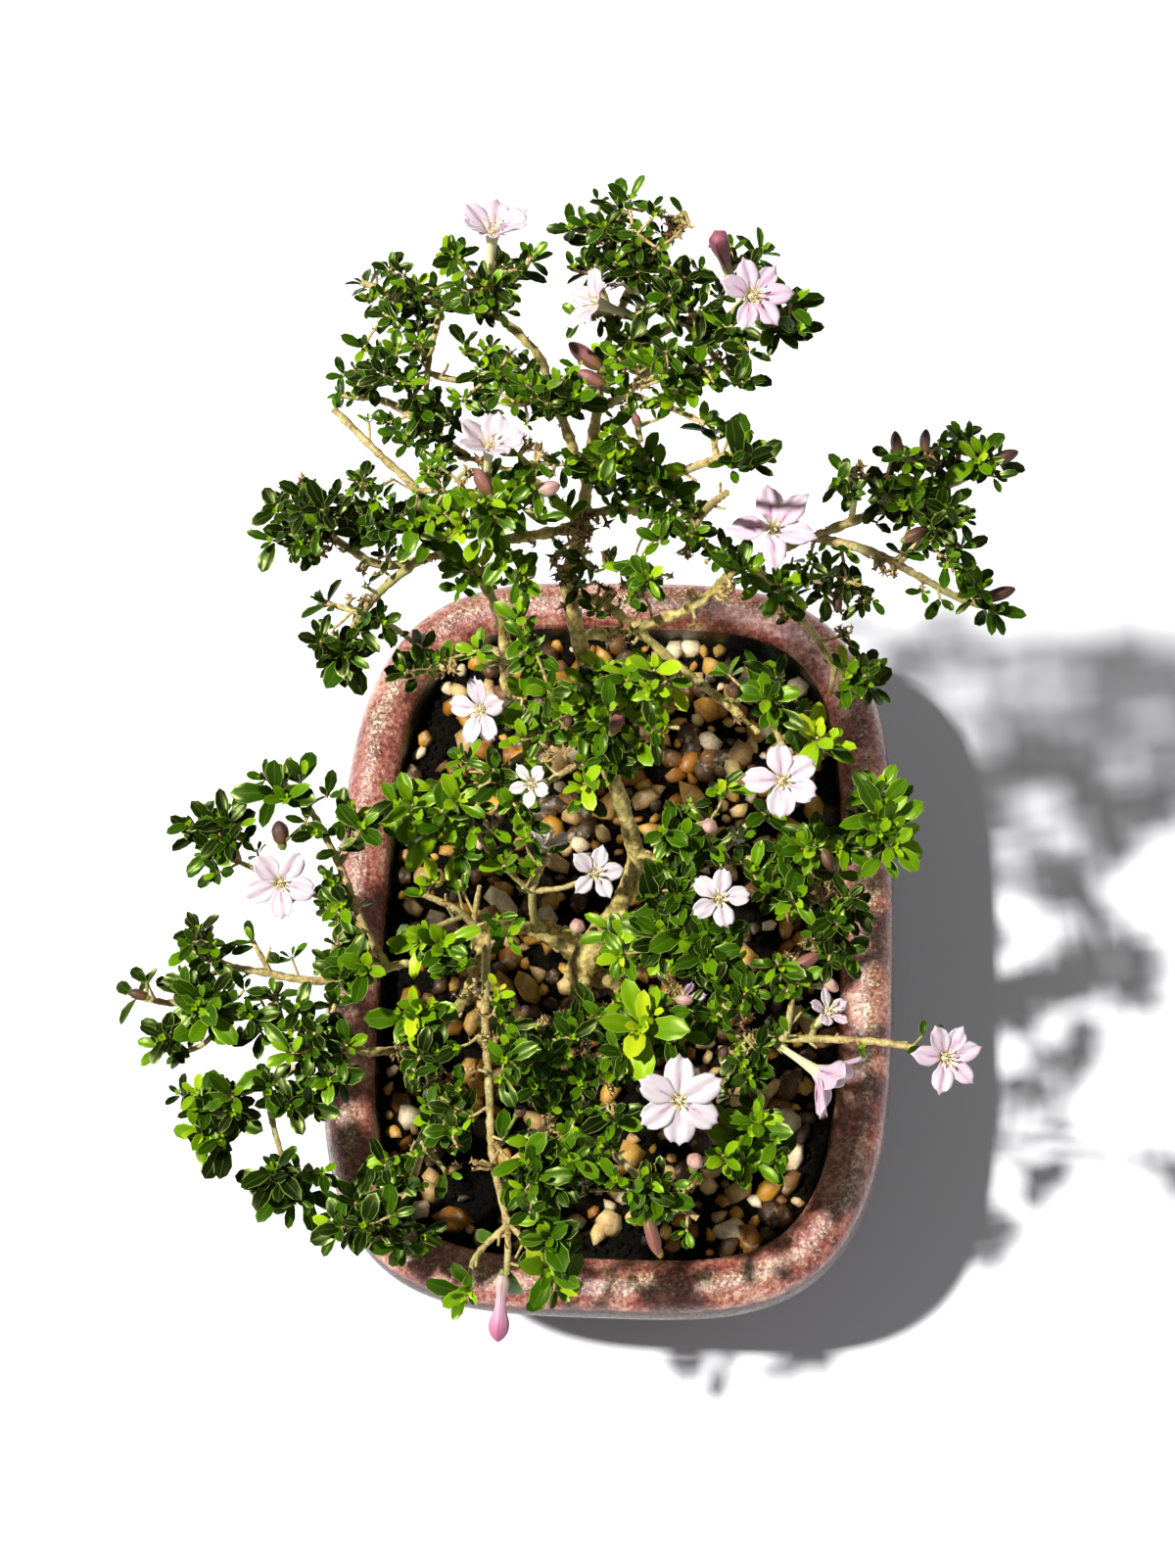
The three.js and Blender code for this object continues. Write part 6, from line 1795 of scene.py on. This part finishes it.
def stamen_lines(mouth, axis, ways, spoke, draw):
    """Hairs in the throat, a stamen between each two petals, and the pistil."""
    lines = []
    for hair in range(THROAT_HAIRS):
        out = spoke(hair * TURN_STEP)
        root = mouth - axis * 1.5 + out * 0.9
        tip = mouth + axis * draw.uniform(-0.7, 0.2) + out * draw.uniform(0.1, 0.5)
        lines.append([(root, 0.12), (tip, 0.12)])
    for way in ways:
        out = spoke(math.radians(way) + math.pi / len(ways))
        root = mouth - axis * 1.6 + out * 0.5
        tip = mouth + axis * draw.uniform(1.0, 2.0) + out * draw.uniform(0.9, 1.7)
        lines.append([(root, 0.12), (root.lerp(tip, 0.6) + axis * 0.2, 0.1), (tip, 0.1)])
        beyond = tip + (axis * 0.4 + out * 0.9) * 0.7
        lines.append([(tip - (beyond - tip) * 0.6, 0.1), (tip, 0.24), (beyond, 0.1)])
    lines.append([(mouth - axis * 1.6, 0.14), (mouth + axis * 3.2, 0.11)])
    return lines


def calyx_lines(foot, axis, size=1.0):
    """A green cup at the foot of a bloom or bud, with narrow points round it."""
    along = axis * size
    cup = [(foot - along * 1.2, 0.5 * size), (foot - along * 0.3, size)]
    lines = [[*cup, (foot + along * 0.7, 0.75 * size)]]
    for point in range(5):
        out = any_side(axis, point / 5 * math.tau) * size
        start = foot + out * 0.6 + along * 0.2
        middle, end = start + along * 1.1 + out * 0.3, start + along * 2 + out * 0.5
        lines.append([(start, 0.3 * size), (middle, 0.2 * size), (end, 0.05 * size)])
    return lines


def calyx(lines):
    return stem_piece("calyx", lines, CALYX, ripple=CALYX_RIPPLE)


def make_bloom(name, bloom, seed, *nodes):
    foot, mouth, _, ways, *_, blush = bloom
    foot, mouth = Vector(foot), Vector(mouth)
    draw = random.Random(seed)
    axis = (mouth - foot).normalized()
    up = (CAMERA_UP - axis * CAMERA_UP.dot(axis)).normalized()
    right = up.cross(axis)

    def spoke(angle):
        """The way off the bloom's middle at an angle clockwise from up."""
        return up * math.cos(angle) + right * math.sin(angle)

    mesh = corolla(name, bloom, axis, spoke, draw)
    mark(mesh, "blush", [blush] * len(mesh.vertices))
    mesh.materials.append(PETAL)
    mesh.shade_smooth()
    sheet = new_object(name, mesh)
    thick = sheet.modifiers.new("thickness", "SOLIDIFY")
    thick.thickness = PETAL_THICKNESS * MM
    thick.offset = 0
    finished(sheet)
    stamens = stem_piece("stamens", stamen_lines(mouth, axis, ways, spoke, draw), STAMEN, sides=5)
    return hand_in(join_pieces(sheet, [stamens, calyx(calyx_lines(foot, axis))]), "petal", *nodes)


def bud_body(name, foot, tip, across, profile, finish):
    """A closed corolla: narrow tube, full body and pleated point."""
    axis = (tip - foot).normalized()
    side = axis.orthogonal().normalized()
    points, places = [], []
    rings = run_line(profile, 0.06)
    for share, width in rings:
        for step in range(BUD_SIDES):
            angle = step / BUD_SIDES * math.tau
            pleat = 1 + 0.13 * math.cos(BUD_PLEATS * angle) * min(1, share * 1.4)
            radius = across / 2 * max(0.02, width) * pleat
            points.append(foot.lerp(tip, share) + Quaternion(axis, angle) @ side * radius)
            places.append(((BUD_PLEATS * step / BUD_SIDES) % 1, share))
    faces = ring_faces(len(rings), BUD_SIDES, capped=True)
    mesh = new_mesh(name, [point * MM for point in points], faces)
    map_mesh(mesh, "lobe", places)
    mesh.shade_smooth()
    mesh.materials.append(finish)
    return new_object(name, mesh)


def make_bud(name, profile, *tints):
    """A large bud with its calyx."""
    foot, tip, across = BUDS[name]
    foot, tip = Vector(foot), Vector(tip)
    finish = bud_finish(*tints)
    body = bud_body(f"bud_closed_{name}", foot, tip, across, profile, finish)
    green = calyx(calyx_lines(foot, (tip - foot).normalized()))
    return hand_in(join_pieces(body, [green]), "bud", f"bud_{name}")


def make_small_buds(tree, name, *tints):
    """Buds of one finish as one piece, each on its own stalk from the nearest wood."""
    finish = bud_finish(f"small_bud_{name}", *tints)
    bodies, stalks = [], []
    for number, (x0, y0, x1, y1, width) in enumerate(SMALL_BUDS[name]):
        ahead = tree.front_most(x0, y0) - 3
        foot = seen_at(x0, y0, ahead)
        across = width * ahead / FOCAL
        hidden = max(0.0, across - math.hypot(x1 - x0, y1 - y0) * ahead / FOCAL)
        tip = seen_at(x1, y1, ahead - 0.5 - hidden)
        label = f"small_bud_{name}_{number}"
        bodies.append(bud_body(label, foot, tip, across, SMALL_PROFILE, finish))
        wood, _ = tree.nearest(foot)
        stalks.append(spline([wood, wood.lerp(foot, 0.5), foot], (0.35, 0.4), STEM_STEP))
        stalks += calyx_lines(foot, (tip - foot).normalized(), 0.3 * across)
    return hand_in(join_pieces(bodies[0], [*bodies[1:], calyx(stalks)]), "bud")


# ---------------------------------------------------------------- the whole tree

def make_tree():
    make_trunk()
    blades = [leaf_form(f"leaf_form_{i}", *form) for i, form in enumerate(LEAF_FORMS)]
    blades.append(leaf_form("leaf_form_new", *NEW_LEAF, (-1, 0, 1)))
    blades = collect("leaf_forms", blades)
    dry = collect("scrap_forms", [scrap_form(f"scrap_form_{i}", i + 3) for i in range(3)])
    tree = Growth()
    draw = random.Random(63)
    for route, radii in [TRUNK, *LIMBS]:
        line = spline(route, radii, STEM_STEP)
        tree.settle([row for row in line if row[0].z > SHOOTS_ABOVE], "limbs")
        if route is not TRUNK[0]:
            tree.add_scraps(line, draw, 0.62 * sum(radii) / len(radii))
    for number, name in enumerate(SPRAYS):
        tree.grow_spray(number, name)
    tree.grow_tufts()
    tree.add_dry_stars()
    leaf = leaf_finish()
    for name, leaves in tree.leaves.items():
        nodes = [f"spray_{name}"] if name in SPRAYS else []
        hand_in(leaves.piece(f"leaves_{name}", blades, leaf), "leaf", *nodes)
    twigs = stem_piece("twigs", tree.twigs, twig_finish(), sides=5, ripple=TWIG_RIPPLE)
    hand_in(twigs, "bark", *[f"spray_{name}" for name in SPRAYS])
    hand_in(tree.scraps.piece("dry_scraps", dry, scrap_finish()), "bark")
    for seed, (name, bloom) in enumerate(BLOOMS.items(), 1):
        make_bloom(f"bloom_open_{name}", bloom, seed, f"bloom_{name}")
    for seed, (name, bloom) in enumerate(HIDDEN_BLOOMS.items(), 21):
        make_bloom(f"bloom_hidden_{name}", bloom, seed)
    make_bud("top", BLUNT_PROFILE, "bud_mauve", "6f7a2c", "74343f", "8c4957")
    make_bud("front", BUD_PROFILE, "bud_pink", "bfa598", "cba0ae", "ac4877")
    make_small_buds(tree, "mauve", "7a5c30", "824e40", "875247")
    make_small_buds(tree, "pink", "a88c6c", "c4a092", "b6857a")
    make_small_buds(tree, "brown", "6a4c20", "57351c", "3c2014")


def make_stage():
    corners = [(-4, -4, 0), (4, -4, 0), (4, 4, 0), (-4, 4, 0)]
    floor = new_object("floor", new_mesh("floor", corners, [(0, 1, 2, 3)]))
    floor.data.materials.append(FLOOR)
    floor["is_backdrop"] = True
    world = bpy.data.worlds.new("studio")
    world.use_nodes = True
    backdrop = world.node_tree.nodes["Background"]
    backdrop.inputs[0].default_value = ROOM_LIGHT
    backdrop.inputs[1].default_value = ROOM_POWER
    scene.world = world
    for name, place, size, power in LAMPS:
        lamp = bpy.data.lights.new(name, "AREA")
        lamp.size = size
        lamp.energy = power
        light = new_object(name, lamp)
        light.location = place
        light.rotation_euler = (LAMP_AIM - light.location).to_track_quat("-Z", "Y").to_euler()
    scene.view_settings.view_transform = "Standard"


def make_camera():
    lens = bpy.data.cameras.new("camera")
    lens.lens = LENS
    lens.sensor_width = SENSOR
    lens.clip_start = 0.01
    camera = new_object("camera", lens)
    turn = Matrix((CAMERA_RIGHT, CAMERA_UP, -CAMERA_AHEAD)).transposed()
    camera.matrix_world = Matrix.Translation(mm(CAMERA_PLACE)) @ turn.to_4x4()
    scene.camera = camera


make_camera()
make_stage()
make_pot(glaze_finish(), CLAY, shaded_wall_finish())
make_soil()
make_gravel()
make_tree()
for name, y in (("drain_net_front", -DRAIN_OFFSET), ("drain_net_back", DRAIN_OFFSET)):
    make_net(name, y)

sizes = {"cad": cad_box, "visual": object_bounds()}
{name: [list(corner) for corner in box] for name, box in sizes.items()}
